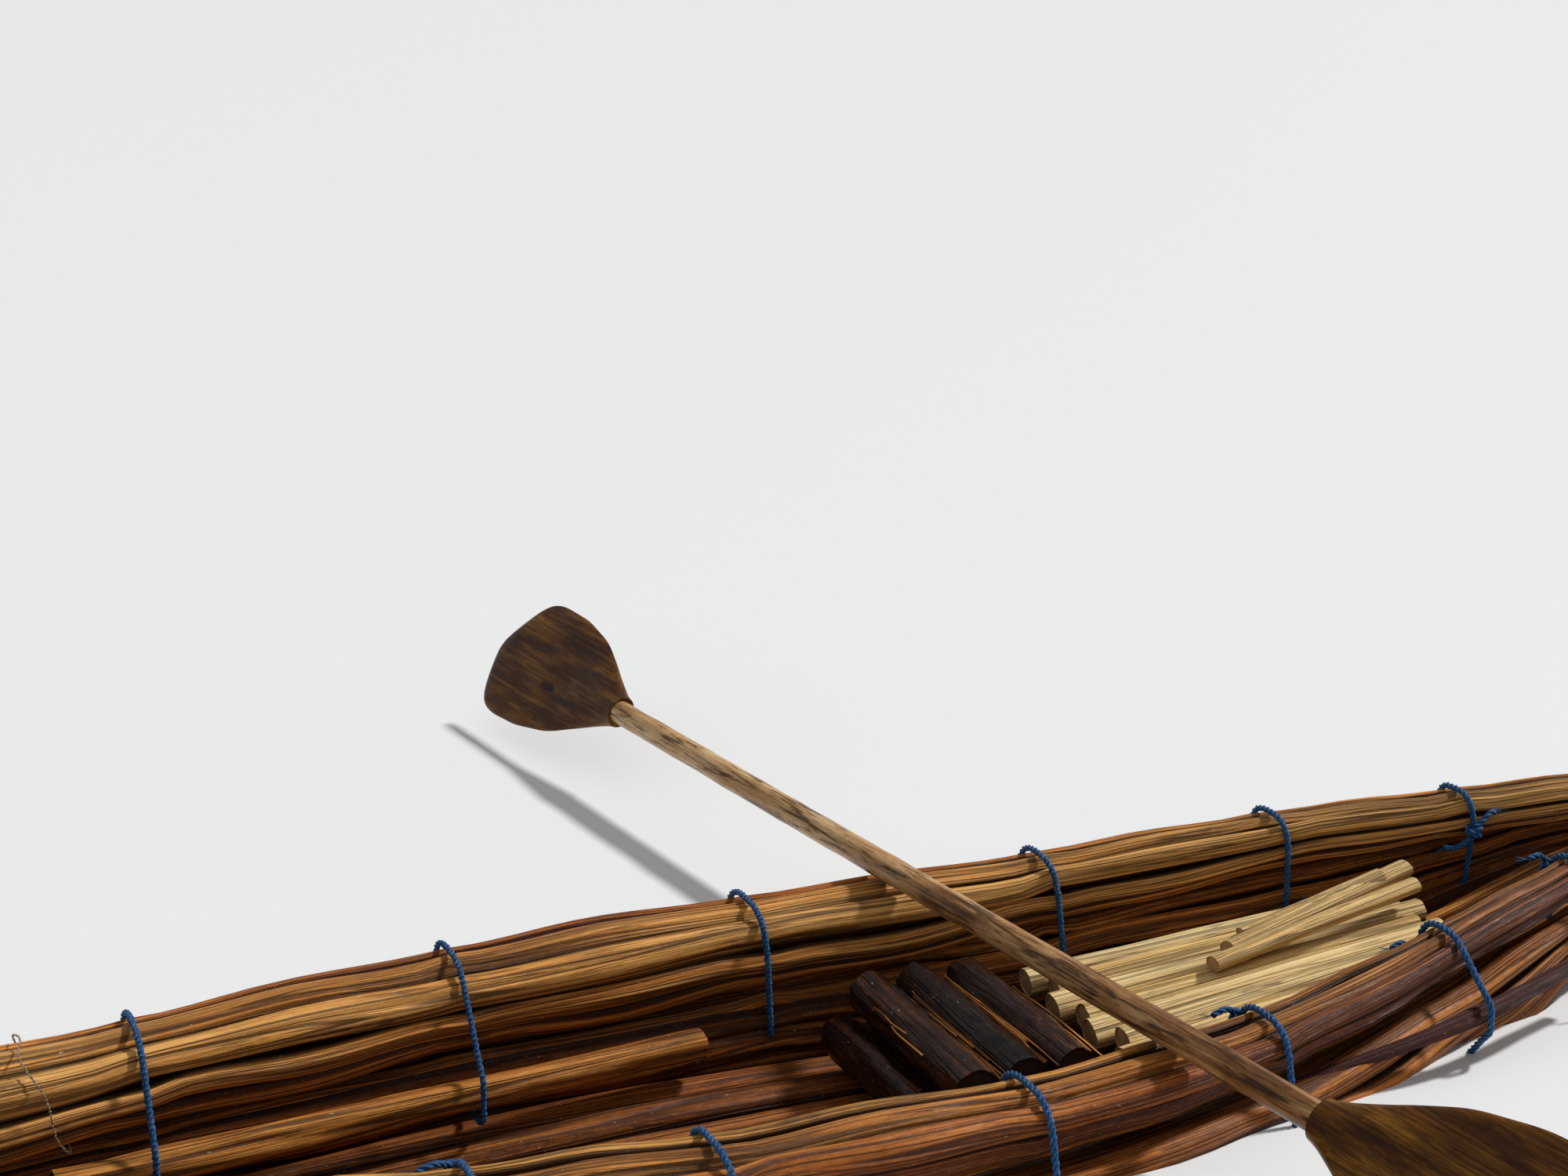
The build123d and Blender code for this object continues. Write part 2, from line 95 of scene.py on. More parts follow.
# Stems round each bundle, from its inner face up over the top and round, as (width in mm, tone, redness).
# Tones run from 0, dark wet brown, to 1, pale straw.
GUNWALES = {
    "port": (
        (46, 0.54, 0.3), (32, 0.74, 0.0), (60, 0.70, 0.3), (58, 0.54, 0.7), (46, 0.44, 1.0), (34, 0.64, 0.9),
        (50, 0.46, 0.6), (46, 0.40, 0.5), (44, 0.36, 0.4),
    ),
    "starboard": (
        (66, 0.78, 0.2), (68, 0.70, 0.3), (44, 0.60, 0.9), (50, 0.50, 0.6), (46, 0.40, 0.4), (46, 0.46, 0.5),
        (44, 0.62, 0.8), (46, 0.74, 0.5),
    ),
}
SIDES = {
    "port": (
        (44, 0.40, 0.4), (38, 0.46, 0.5), (50, 0.52, 0.6), (34, 0.64, 0.8), (42, 0.54, 0.6), (46, 0.60, 0.7),
        (46, 0.40, 0.5),
    ),
    "starboard": (
        (36, 0.56, 0.7), (46, 0.46, 0.5), (44, 0.48, 0.4), (50, 0.42, 0.5), (38, 0.50, 0.6), (46, 0.44, 0.4),
        (48, 0.40, 0.5),
    ),
}
RAFT = (
    (50, 0.40, 0.3), (44, 0.50, 0.5), (58, 0.44, 0.3), (46, 0.56, 0.6), (54, 0.42, 0.4), (42, 0.48, 0.6),
    (56, 0.46, 0.3), (48, 0.38, 0.5), (52, 0.50, 0.4), (46, 0.42, 0.6), (58, 0.46, 0.3), (44, 0.40, 0.5),
    (54, 0.44, 0.4), (48, 0.36, 0.6),
)
CENTRE = (
    (48, 0.42, 0.3), (54, 0.48, 0.5), (44, 0.40, 0.4), (56, 0.52, 0.6), (50, 0.44, 0.3), (46, 0.38, 0.5),
    (52, 0.46, 0.4), (58, 0.42, 0.3), (44, 0.40, 0.6), (50, 0.44, 0.4),
)
RAFT_DARKER = 0.12

# How much its tone changes along each gunwale's length, as (x, change of tone): drier, paler reed towards the
# bow, and painted light that lifts the starboard gunwale's stern where it lies in shade
DRYNESS_AND_LIGHT = {
    "port": ((-1.30, -0.26), (-0.75, -0.14), (-0.20, 0.02), (0.50, 0.08)),
    "starboard": ((-1.30, 0.26), (-0.85, 0.12), (-0.30, -0.04), (0.10, 0.04), (0.30, 0.18)),
}

# Stems inside each bundle, as (share of its half width to port, share of its half height up, width in mm)
CORE_TONE = 0.30
CORE_REDNESS = 0.4
GUNWALE_CORES = ((0, 0, 60),)
SIDE_CORE = (0, 0, 44)
RAFT_CORES = ((-0.62, 0, 70), (0, 0, 70), (0.62, 0, 70))
CENTRE_CORES = ((-0.65, 0, 64), (0, 0, 70), (0.65, 0, 64))

# Where stems close the seam between each side bundle and the raft, as (share of the side's half width
# outboard, share of its half height up)
SEAM_STEMS = ((-0.75, -0.95), (-0.20, -0.95), (0.35, -0.95))
SEAM_STEM_MM = 50

# Tone and redness of the single stems, one pair for each stem in turn
FAN_TONES = ((0.50, 0.3), (0.60, 0.2), (0.46, 0.5))
INNER_REED_TONES = ((0.56, 0.2),)
STALK_TONES = ((0.50, 0.3),)
DECK_TONES = ((0.78, 0.0), (0.66, 0.0), (0.86, 0.0), (0.70, 0.1))
BEARER_TONES = ((0.50, 0.3),)
SEAT_TONES = ((0.50, 0.4), (0.40, 0.2), (0.58, 0.5))

# How the single stems depart from their solids
FAN_CUTS = 4  # places along a stem of the fan where it is measured
FAN_GROW = 1.22  # in width
DECK_GROW = 1.06  # in width
DECK_FLATNESS = 0.86  # thickness as a share of width
DECK_TILT = 0.5  # the most that a reed rolls, in radians
LOGS_CUT_SHORT = 0.045  # the most that a log is cut short
LEAST_CUT = 0.6  # the least, as a share of the most
STALK_SUNK = (0.03, -0.055, -0.018)  # its forward end's way into the side bundle
SUNK_WIDTH = 0.5  # a sunk end's width as a share of the stem's
END_INSET = 0.009  # how far inside its ends a solid is measured

# Folds of the stems, as (size, depth, kind)
LONG_FOLDS = ((0.023, 0.0085, "HARD_NOISE"), (0.05, 0.004, "SOFT_NOISE"))
SPLIT_FOLDS = ((0.028, 0.0048, "HARD_NOISE"), (0.012, 0.0006, "HARD_NOISE"))
LOG_FOLDS = ((0.020, 0.0060, "HARD_NOISE"), (0.009, 0.0020, "HARD_NOISE"), (0.03, 0.004, "SOFT_NOISE"))

# Straight stems that all others are copied from, as (how many, length, sides, rings, the first one's place in
# the texture of its folds, how far the folds are drawn out, folds)
STOCK = {
    "long": (4, 3.3, 56, 90, 0, 30, LONG_FOLDS),
    "plain": (3, 3.3, 32, 70, 5, 30, LONG_FOLDS),
    "short": (3, 0.5, 40, 30, 9, 7, LONG_FOLDS),
    "split": (4, 0.5, 44, 24, 13, 16, SPLIT_FOLDS),
    "log": (3, 0.35, 36, 24, 18, 5, LOG_FOLDS),
}


def deselect():
    if bpy.context.mode != "OBJECT":
        bpy.ops.object.mode_set(mode="OBJECT")
    bpy.ops.object.select_all(action="DESELECT")


def choose(*pieces):
    """Makes these pieces the only ones selected, the first of them active."""
    deselect()
    for piece in pieces:
        piece.select_set(True)
    bpy.context.view_layer.objects.active = pieces[0]


def place(piece):
    """Puts a piece's own place, turn and size into its mesh."""
    choose(piece)
    bpy.ops.object.transform_apply(location=True, rotation=True, scale=True)


def apply_all(piece):
    choose(piece)
    for modifier in list(piece.modifiers):
        bpy.ops.object.modifier_apply(modifier=modifier.name)


def copy_of(piece, name):
    """A copy of a piece with its own mesh."""
    twin = piece.copy()
    twin.data = piece.data.copy()
    twin.name = name
    bpy.context.scene.collection.objects.link(twin)
    return twin


def join(pieces, name):
    choose(*pieces)
    if len(pieces) > 1:
        bpy.ops.object.join()
    pieces[0].name = name
    return pieces[0]


def discard(pieces):
    for piece in pieces:
        bpy.data.objects.remove(piece)


def points_of(piece):
    spots = np.zeros(len(piece.data.vertices) * 3)
    piece.data.vertices.foreach_get("co", spots)
    return spots.reshape(-1, 3)


def edges_of(piece):
    ends = np.zeros(len(piece.data.edges) * 2, int)
    piece.data.edges.foreach_get("vertices", ends)
    return ends.reshape(-1, 2)


def note(piece, name, values):
    """Keeps a vector for every point of a piece, for its material to read."""
    layer = piece.data.attributes.get(name) or piece.data.attributes.new(name, "FLOAT_VECTOR", "POINT")
    layer.data.foreach_set("vector", np.asarray(values, np.float32).ravel())


def pick_edges(piece, flags):
    """Selects these edges of a piece and nothing else of it. In point mode Blender would add every edge whose
    two points are taken."""
    bpy.context.tool_settings.mesh_select_mode = (False, True, False)
    mesh = piece.data
    mesh.polygons.foreach_set("select", [False] * len(mesh.polygons))
    mesh.vertices.foreach_set("select", [False] * len(mesh.vertices))
    mesh.edges.foreach_set("select", [bool(flag) for flag in flags])


def lengthwise_cuts(piece, cuts):
    """Divides every edge that runs along X."""
    ends = points_of(piece)[edges_of(piece)][:, :, 0]
    choose(piece)
    pick_edges(piece, np.abs(ends[:, 0] - ends[:, 1]) > NUDGE)
    bpy.ops.object.mode_set(mode="EDIT")
    bpy.ops.mesh.select_mode(type="EDGE")
    bpy.ops.mesh.subdivide(number_cuts=cuts)
    bpy.ops.object.mode_set(mode="OBJECT")


def crease(piece, size, depth, kind, mid_level=0.6):
    """Works creases into a piece with a procedural texture."""
    texture = bpy.data.textures.new(f"creases_{piece.name}_{len(piece.modifiers)}", "CLOUDS")
    texture.noise_type = kind
    texture.noise_scale = size
    texture.noise_depth = 1
    modifier = piece.modifiers.new("creases", "DISPLACE")
    modifier.texture = texture
    modifier.texture_coords = "LOCAL"
    modifier.strength = depth
    modifier.mid_level = mid_level


def straight_stem(name, length, sides, rings, variety, stretch, folds):
    """A straight stem along X, creased lengthwise, with a rim of rind round its pith at both cut ends."""
    deselect()
    short = length / stretch
    start = variety * VARIETY_STEP
    bpy.ops.mesh.primitive_cylinder_add(
        vertices=sides, radius=STEM_RADIUS, depth=short, end_fill_type="NOTHING",
        location=(start + short / 2, 0, 0), rotation=(0, math.pi / 2, 0),
    )
    stem = bpy.context.object
    stem.name = name
    place(stem)
    lengthwise_cuts(stem, rings)
    note(stem, "rest", (points_of(stem) - (start, 0, 0)) * (stretch, 1, 1))
    for size, depth, kind in folds:
        crease(stem, size, depth, kind)
    apply_all(stem)
    spots = points_of(stem)
    reach = np.hypot(spots[:, 1], spots[:, 2])
    # How deep in a groove each point lies, which the rind's material turns into painted shade
    groove = np.clip((np.median(reach) - GROOVE_SHADE_START - reach) / GROOVE_SHADE_DEPTH, 0, 1)
    stem.data.transform(Matrix.Translation((-start, 0, 0)))
    stem.data.transform(Matrix.Diagonal((stretch, 1, 1, 1)))
    note(stem, "groove", np.column_stack((groove, groove * 0, groove * 0)))
    # Two places for the rind and pith that finish_piece gives it
    stem.data.materials.append(reed)
    stem.data.materials.append(pith)
    cap_ends(stem)
    choose(stem)
    bpy.ops.object.shade_smooth()
    return stem


def cap_ends(stem):
    """Cuts both open ends square and closes them with the rind's rim and the pith a little sunk in it."""
    middle = points_of(stem)[:, 0].mean()
    for end in (False, True):
        spots, ends = points_of(stem), edges_of(stem)
        sides = np.zeros(len(stem.data.loops), int)
        stem.data.loops.foreach_get("edge_index", sides)
        rim = np.bincount(sides, minlength=len(ends)) == 1
        rim &= (spots[ends[:, 0], 0] > middle) == end
        ring = np.unique(ends[rim])
        spots[ring, 0] = spots[ring, 0].mean()
        stem.data.vertices.foreach_set("co", spots.ravel())
        choose(stem)
        pick_edges(stem, rim)
        stem.active_material_index = PITH_SLOT
        bpy.ops.object.mode_set(mode="EDIT")
        bpy.ops.mesh.select_mode(type="EDGE")
        bpy.ops.mesh.mark_sharp()
        bpy.ops.mesh.edge_face_add()
        bpy.ops.mesh.select_mode(type="FACE")
        bpy.ops.mesh.inset(thickness=RIM, depth=0, use_even_offset=False)
        bpy.ops.object.material_slot_assign()
        bpy.ops.mesh.inset(thickness=RIM, depth=-PITH_SUNK, use_even_offset=False)
        bpy.ops.mesh.poke(offset=RIM)
        bpy.ops.object.mode_set(mode="OBJECT")


def smooth(piece):
    """Shades a piece smooth, apart from its sharp edges."""
    choose(piece)
    bpy.ops.object.shade_smooth_by_angle(angle=SHARP_FROM)


LINES = {}


def lines_of(piece):
    """A piece's points and edges, read once for each name."""
    if piece.name not in LINES:
        LINES[piece.name] = points_of(piece), edges_of(piece)
    return LINES[piece.name]


def cut_points(piece, at, axis=0):
    """Where a plane across an axis cuts a piece's edges."""
    spots, edges = lines_of(piece)
    low, high = spots[:, axis].min() + NUDGE, spots[:, axis].max() - NUDGE
    at = min(max(at + NUDGE, low), high)
    a, b = spots[edges[:, 0]], spots[edges[:, 1]]
    crossing = (a[:, axis] - at) * (b[:, axis] - at) < 0
    a, b = a[crossing], b[crossing]
    return a + (b - a) * ((at - a[:, axis]) / (b[:, axis] - a[:, axis]))[:, None]


def section(node, x):
    """The tightest loop round a CAD bundle where it is cut across at x, as rows of (y, z)."""
    cut = cut_points(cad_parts[node], x)[:, 1:]
    return cut[convex_hull_2d([Vector(point) for point in cut])]


def even_loop(corners, inboard):
    """Even steps round a loop, from the inboard face up over the top, and the loop's length."""
    closed = np.vstack((corners, corners[:1]))
    runs = np.hypot(*np.diff(closed, axis=0).T)
    marks = np.concatenate(([0], np.cumsum(runs)))
    steps = np.linspace(0, marks[-1], LOOP_STEPS, endpoint=False)
    loop = np.column_stack([np.interp(steps, marks, closed[:, i]) for i in (0, 1)])
    middle = loop.mean(0)
    away = loop - middle
    first = np.argmax(away[:, 0] * inboard / np.hypot(away[:, 0], away[:, 1]))
    loop = np.roll(loop, -first, axis=0)
    # A quarter of the way round is the top
    if loop[LOOP_STEPS // 4][1] < middle[1]:
        loop = np.roll(loop[::-1], 1, axis=0)
    return loop, marks[-1]


def on_loop(loop, share):
    """The point a share of the way round a loop."""
    place_on = (share % 1) * LOOP_STEPS
    i, part = int(place_on), place_on % 1
    return loop[i % LOOP_STEPS] * (1 - part) + loop[(i + 1) % LOOP_STEPS] * part


def outward(loop, share, width):
    """The direction out of a loop, evened over a stem's width."""
    ahead, behind = on_loop(loop, share + width / 2), on_loop(loop, share - width / 2)
    across = np.array((ahead[1] - behind[1], behind[0] - ahead[0]))
    across /= np.hypot(*across)
    if across @ (on_loop(loop, share) - loop.mean(0)) < 0:
        across = -across
    return across


def bend_along(piece, stations, twist="Z_UP"):
    """Bends a straight piece along stations of (point, size, roll)."""
    line = bpy.data.curves.new("line", "CURVE")
    line.dimensions = "3D"
    line.twist_mode = twist
    line.use_radius = line.use_stretch = line.use_deform_bounds = True
    spline = line.splines.new("BEZIER")
    spline.bezier_points.add(len(stations) - 1)
    for knot, (point, size, roll) in zip(spline.bezier_points, stations):
        knot.co, knot.radius, knot.tilt = point, size, roll
        knot.handle_left_type = knot.handle_right_type = "AUTO"
    guide = bpy.data.objects.new("guide", line)
    bpy.context.scene.collection.objects.link(guide)
    modifier = piece.modifiers.new("bend", "CURVE")
    modifier.object = guide
    apply_all(piece)
    bpy.data.objects.remove(guide)


def stem_stations(node, xs, grips, inboard, widths, index, drift):
    """Where one stem of a bundle runs: its centre, size factor and roll at each x."""
    total = sum(widths)
    width = widths[index] / 1000
    middle_share = (sum(widths[:index]) + widths[index] / 2) / total
    mean_thickness = THICKNESS * total / len(widths) / 1000
    stations = []
    for i, x in enumerate(xs):
        loop, length = even_loop(section(node, x), inboard)
        factor = length / (OVERLAP * total / 1000 + math.pi * mean_thickness)
        share = middle_share + drift[i] * width / (total / 1000)
        out = outward(loop, share, width * 1000 / total * EVENED_SHARE)
        depth = THICKNESS * width * factor / 2
        proud = BITE if x in grips else 0
        spot = on_loop(loop, share) - out * (depth - proud)
        roll = math.atan2(-out[0], out[1])
        stations.append(((x, *spot), factor, roll))
    # A roll is kept within half a turn of the one before, or the stem would spin round between them
    for i in range(1, len(stations)):
        (spot, factor, roll), before = stations[i], stations[i - 1][2]
        while roll - before > math.pi:
            roll -= 2 * math.pi
        while roll - before < -math.pi:
            roll += 2 * math.pi
        stations[i] = (spot, factor, roll)
    return stations


def grip_places(node, spacing=0.03):
    """The x of every rope loop in a CAD node, where they lie further apart than this spacing."""
    marks = sorted(points_of(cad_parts[node])[:, 0])
    places, start = [], 0
    for i in range(1, len(marks) + 1):
        if i == len(marks) or marks[i] - marks[i - 1] > spacing:
            places.append(round(float(marks[start] + marks[i - 1]) / 2, 4))
            start = i
    return places


def dressed_stem(master, name, width, tone, redness, stations, thickness, dryness_and_light=((0, 0),), seam_shaded=False):
    """A copy of a straight stem, given its width, thickness and tone and bent into place. Where it is seam
    shaded, it gets painted shade down both sides, where it meets its neighbours."""
    stem = copy_of(master, name)
    spots = points_of(stem)
    turn = random.uniform(0, 2 * math.pi)
    grow = width / (2 * STEM_RADIUS)
    stem.data.transform(Matrix.Rotation(turn, 4, "X"))
    stem.data.transform(Matrix.Diagonal((1, grow, grow * thickness, 1)))
    # Half of them lie the other way round
    if random.random() < 0.5:
        stem.data.transform(Matrix.Rotation(math.pi, 4, "Z"))
        stem.data.transform(Matrix.Translation((spots[:, 0].max(), 0, 0)))
    spots = points_of(stem)
    lot = random.random()
    if seam_shaded:
        # How far round each point lies from the stem's outer line, for painted shade where it meets its
        # neighbours
        off_top = np.abs(np.degrees(np.arctan2(spots[:, 1], spots[:, 2])))
        seam = np.clip((off_top - SEAM_SHADE_FROM) / SEAM_SHADE_SPREAD, 0, 1)
        groove = np.zeros(len(spots) * 3)
        stem.data.attributes["groove"].data.foreach_get("vector", groove)
        note(stem, "groove", np.column_stack((groove[::3], seam, seam * 0)))
    bend_along(stem, stations)
    tones = tone + np.interp(points_of(stem)[:, 0], *np.array(dryness_and_light).T)
    note(stem, "stem", np.column_stack((tones, tones * 0 + lot, tones * 0 + redness)))
    return stem


def trimmed(stations, fore, aft):
    """Stations with both ends drawn in, so that cut ends don't lie level."""
    def moved(near, far, run):
        (a, size, roll), b = near, far[0]
        step = (Vector(b) - Vector(a)).normalized() * run
        return tuple(Vector(a) + step), size, roll

    return [moved(stations[0], stations[1], fore), *stations[1:-1], moved(stations[-1], stations[-2], aft)]


def bundle_places(node, ties):
    """The x of each station along a bundle, and of each tie that grips it."""
    low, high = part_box(node)
    grips = [x for x in ties if low.x + GRIP_MARGIN < x < high.x - GRIP_MARGIN]
    marks = [low.x, *grips, high.x]
    middles = [(a + b) / 2 for a, b in zip(marks, marks[1:]) if b - a > LONG_RUN]
    shoulders = [x + side * SHOULDER for x in grips for side in (-1, 1)]
    shoulders = [x for x in shoulders if low.x + SHOULDER_MARGIN < x < high.x - SHOULDER_MARGIN]
    return sorted(marks + middles + shoulders), grips


def bundle(node, masters, table, inboard, ties, cores, darker=0.0, dryness_and_light=((0, 0),)):
    """A bundle's stems, side by side round the CAD bundle's outline and gripped where its ties sit, and the
    stems inside it."""
    xs, grips = bundle_places(node, ties)
    widths = [row[0] for row in table]
    stems = []
    for i, (width, tone, redness) in enumerate(table):
        drift = [random.uniform(-DRIFT, DRIFT) for _ in xs]
        stations = stem_stations(node, xs, grips, inboard, widths, i, drift)
        stations = trimmed(stations, random.uniform(0, END_STAGGER), random.uniform(0, END_STAGGER))
        stems.append(dressed_stem(
            masters[i % len(masters)], f"{node}_{i}", width / 1000, tone - darker, redness, stations,
            THICKNESS, dryness_and_light, seam_shaded=True,
        ))
    for i, (across, up, width) in enumerate(cores):
        stations = []
        for x in xs:
            loop, length = even_loop(section(node, x), inboard)
            spot = loop.mean(0) + (loop.max(0) - loop.min(0)) / 2 * np.array((across, up))
            stations.append(((x, *spot), length / (sum(widths) / 1000), 0))
        stems.append(dressed_stem(
            masters[i % len(masters)], f"{node}_core_{i}", width / 1000, CORE_TONE, CORE_REDNESS, stations,
            THICKNESS,
        ))
    finish_piece(join(stems, f"{node}_stems"), (reed, pith), "reed", node)


def node_axes(node, axis, cuts=3):
    """The centre and width of each separate solid of a CAD node, at even cuts along an axis."""
    twin = copy_of(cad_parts[node], "twin")
    choose(twin)
    bpy.ops.object.mode_set(mode="EDIT")
    bpy.ops.mesh.select_all(action="SELECT")
    bpy.ops.mesh.remove_doubles(threshold=MERGE)
    bpy.ops.mesh.separate(type="LOOSE")
    bpy.ops.object.mode_set(mode="OBJECT")
    solids = list(bpy.context.selected_objects)
    rows = []
    for i, solid in enumerate(solids):
        solid.name = f"{node}_solid_{i}"
        reach = points_of(solid)[:, axis]
        row = []
        for at in np.linspace(reach.min() + END_INSET, reach.max() - END_INSET, cuts):
            cut = cut_points(solid, at, axis)
            middle = (cut.min(0) + cut.max(0)) / 2
            row.append((middle, 2 * np.mean(np.linalg.norm(cut - middle, axis=1))))
        # The first and last centres are carried on to the solid's very ends
        ends = []
        for (near, _), (far, _) in ((row[0], row[1]), (row[-1], row[-2])):
            ends.append(near + (near - far) * END_INSET / abs((near - far)[axis]))
        row[0], row[-1] = (ends[0], row[0][1]), (ends[1], row[-1][1])
        rows.append(row)
    discard(solids)
    return sorted(rows, key=lambda row: tuple(row[0][0]))


def single_stems(
    node, masters, tones, materials, slot, axis=ALONG, cuts=3, grow=1.0, thickness=1.0, tilt=0.0, sunk=None,
    cut_short=0.0,
):
    """A stem along each separate solid of a CAD node, and the axes that they follow. A sunk stem's last end
    narrows and goes that far into what it lies on."""
    stems = []
    rows = node_axes(node, axis, cuts)
    for i, row in enumerate(rows):
        width = row[0][1] * grow
        roll = random.uniform(-tilt, tilt)
        if sunk:
            row[-1] = row[-1][0] + np.array(sunk), row[-1][1] * SUNK_WIDTH
        stations = [(tuple(spot), size * grow / width, roll) for spot, size in row]
        stations = trimmed(stations, 0, cut_short * random.uniform(LEAST_CUT, 1.0))
        tone, redness = tones[i % len(tones)]
        master = masters[i % len(masters)]
        stems.append(dressed_stem(master, f"{node}_{i}", width, tone, redness, stations, thickness))
    finish_piece(join(stems, f"{node}_stems"), materials, slot, node)
    return rows


def finish_piece(piece, materials, slot, *nodes):
    """Gives a piece its materials and its body, and hides the CAD nodes that it stands for."""
    slots = piece.data.materials
    for i, material in enumerate(materials):
        if i < len(slots):
            slots[i] = material
        else:
            slots.append(material)
    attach(piece, BODY)
    if nodes:
        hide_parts(*nodes)


# Materials read what each point keeps: rest is its place on the straight stem or rope, groove how deep in a
# groove and how far round to a seam it lies, which they darken as painted shade, and stem its tone, its lot
# in the patterns and its redness
class Shader:
    """A material's nodes, added one after another."""

    def __init__(self, name):
        self.material = bpy.data.materials.new(name)
        self.material.use_nodes = True
        self.tree = self.material.node_tree
        self.surface = self.tree.nodes["Principled BSDF"]

    def add(self, kind, **inputs):
        node = self.tree.nodes.new(kind)
        for key, value in inputs.items():
            self.feed(node, key.replace("_", " "), value)
        return node

    def feed(self, node, key, value):
        socket = node.inputs[key]
        if isinstance(value, bpy.types.NodeSocket):
            self.tree.links.new(value, socket)
        else:
            socket.default_value = value

    def attribute(self, name):
        node = self.add("ShaderNodeAttribute")
        node.attribute_name = name
        return node.outputs["Vector"]

    def place(self):
        return self.add("ShaderNodeTexCoord").outputs["Object"]

    def scaled(self, vector, scale):
        return self.add("ShaderNodeMapping", Vector=vector, Scale=scale).outputs["Vector"]

    def noise(self, vector, scale=(1, 1, 1), detail=3.0, roughness=0.6, distortion=0.0):
        node = self.add(
            "ShaderNodeTexNoise", Vector=self.scaled(vector, scale), Scale=1.0, Detail=detail,
            Roughness=roughness, Distortion=distortion,
        )
        return node.outputs["Fac"]

    def math(self, operation, *values):
        node = self.tree.nodes.new("ShaderNodeMath")
        node.operation = operation
        for i, value in enumerate(values):
            self.feed(node, i, value)
        return node.outputs[0]

    def range(self, value, low, high, to_low=0.0, to_high=1.0):
        node = self.tree.nodes.new("ShaderNodeMapRange")
        keys = ("Value", "From Min", "From Max", "To Min", "To Max")
        for key, number in zip(keys, (value, low, high, to_low, to_high)):
            self.feed(node, key, number)
        return node.outputs[0]

    def sway(self, value, pattern, share):
        """Moves a value up and down with a pattern whose middle is one half."""
        return self.math("MULTIPLY_ADD", self.math("SUBTRACT", pattern, 0.5), share, value)

    def times(self, value, share):
        return self.math("MULTIPLY", value, share)

    def plus(self, value, pattern, share):
        """Adds a share of a pattern to a value."""
        return self.math("MULTIPLY_ADD", pattern, share, value)

    def lines(self, field, levels, width):
        """Thin lines where a field passes through each of some levels, 1 on the line and 0 off it."""
        found = 0.0
        for level in levels:
            gap = self.math("ABSOLUTE", self.math("SUBTRACT", field, level))
            found = self.math("MAXIMUM", found, self.range(gap, width, width * LINE_CORE))
        return found

    def ramp(self, value, stops):
        node = self.add("ShaderNodeValToRGB", Fac=value)
        elements = node.color_ramp.elements
        while len(elements) < len(stops):
            elements.new(0.5)
        for element, (position, colour) in zip(elements, stops):
            element.position = position
            element.color = (*colour, 1)
        return node.outputs["Color"]

    def mix(self, share, a, b, blend_type="MIX"):
        node = self.tree.nodes.new("ShaderNodeMix")
        node.data_type = "RGBA"
        node.blend_type = blend_type
        for key, value in ((0, share), (6, a), (7, b)):
            self.feed(node, key, (*value, 1) if isinstance(value, tuple) else value)
        return node.outputs[2]

    def split(self, vector):
        return self.add("ShaderNodeSeparateXYZ", Vector=vector).outputs

    def joined(self, x, y, z):
        return self.add("ShaderNodeCombineXYZ", X=x, Y=y, Z=z).outputs[0]

    def bump(self, height, strength, distance):
        bump = self.add("ShaderNodeBump", Height=height, Strength=strength, Distance=distance)
        return bump.outputs[0]

    def finish(self, coat=(0.0, 0.2), specular=0.35, **sockets):
        """Feeds the surface its sockets and a coat of (weight, roughness)."""
        for key, value in sockets.items():
            self.feed(self.surface, key.replace("_", " "), value)
        if "Normal" in sockets:
            self.feed(self.surface, "Coat Normal", sockets["Normal"])
        self.surface.inputs["Specular IOR Level"].default_value = specular
        self.surface.inputs["Coat Weight"].default_value = coat[0]
        self.surface.inputs["Coat Roughness"].default_value = coat[1]
        return self.material


LINE_CORE = 0.3  # share of a thin line's half width that is fully dark

# Rind
RED_TINT = (0.92, 0.58, 0.42)
BLOTCH = (0.075, 0.022, 0.014)
# Colour of the rind's dark lines, and of the painted shade in its grooves and seams
LINE_AND_SHADE = (0.020, 0.007, 0.004)
FLECK = (0.62, 0.52, 0.36)
LOT_SPACING = 37.0  # the most that two stems' patterns lie apart
RIND_RELIEF = 0.0026


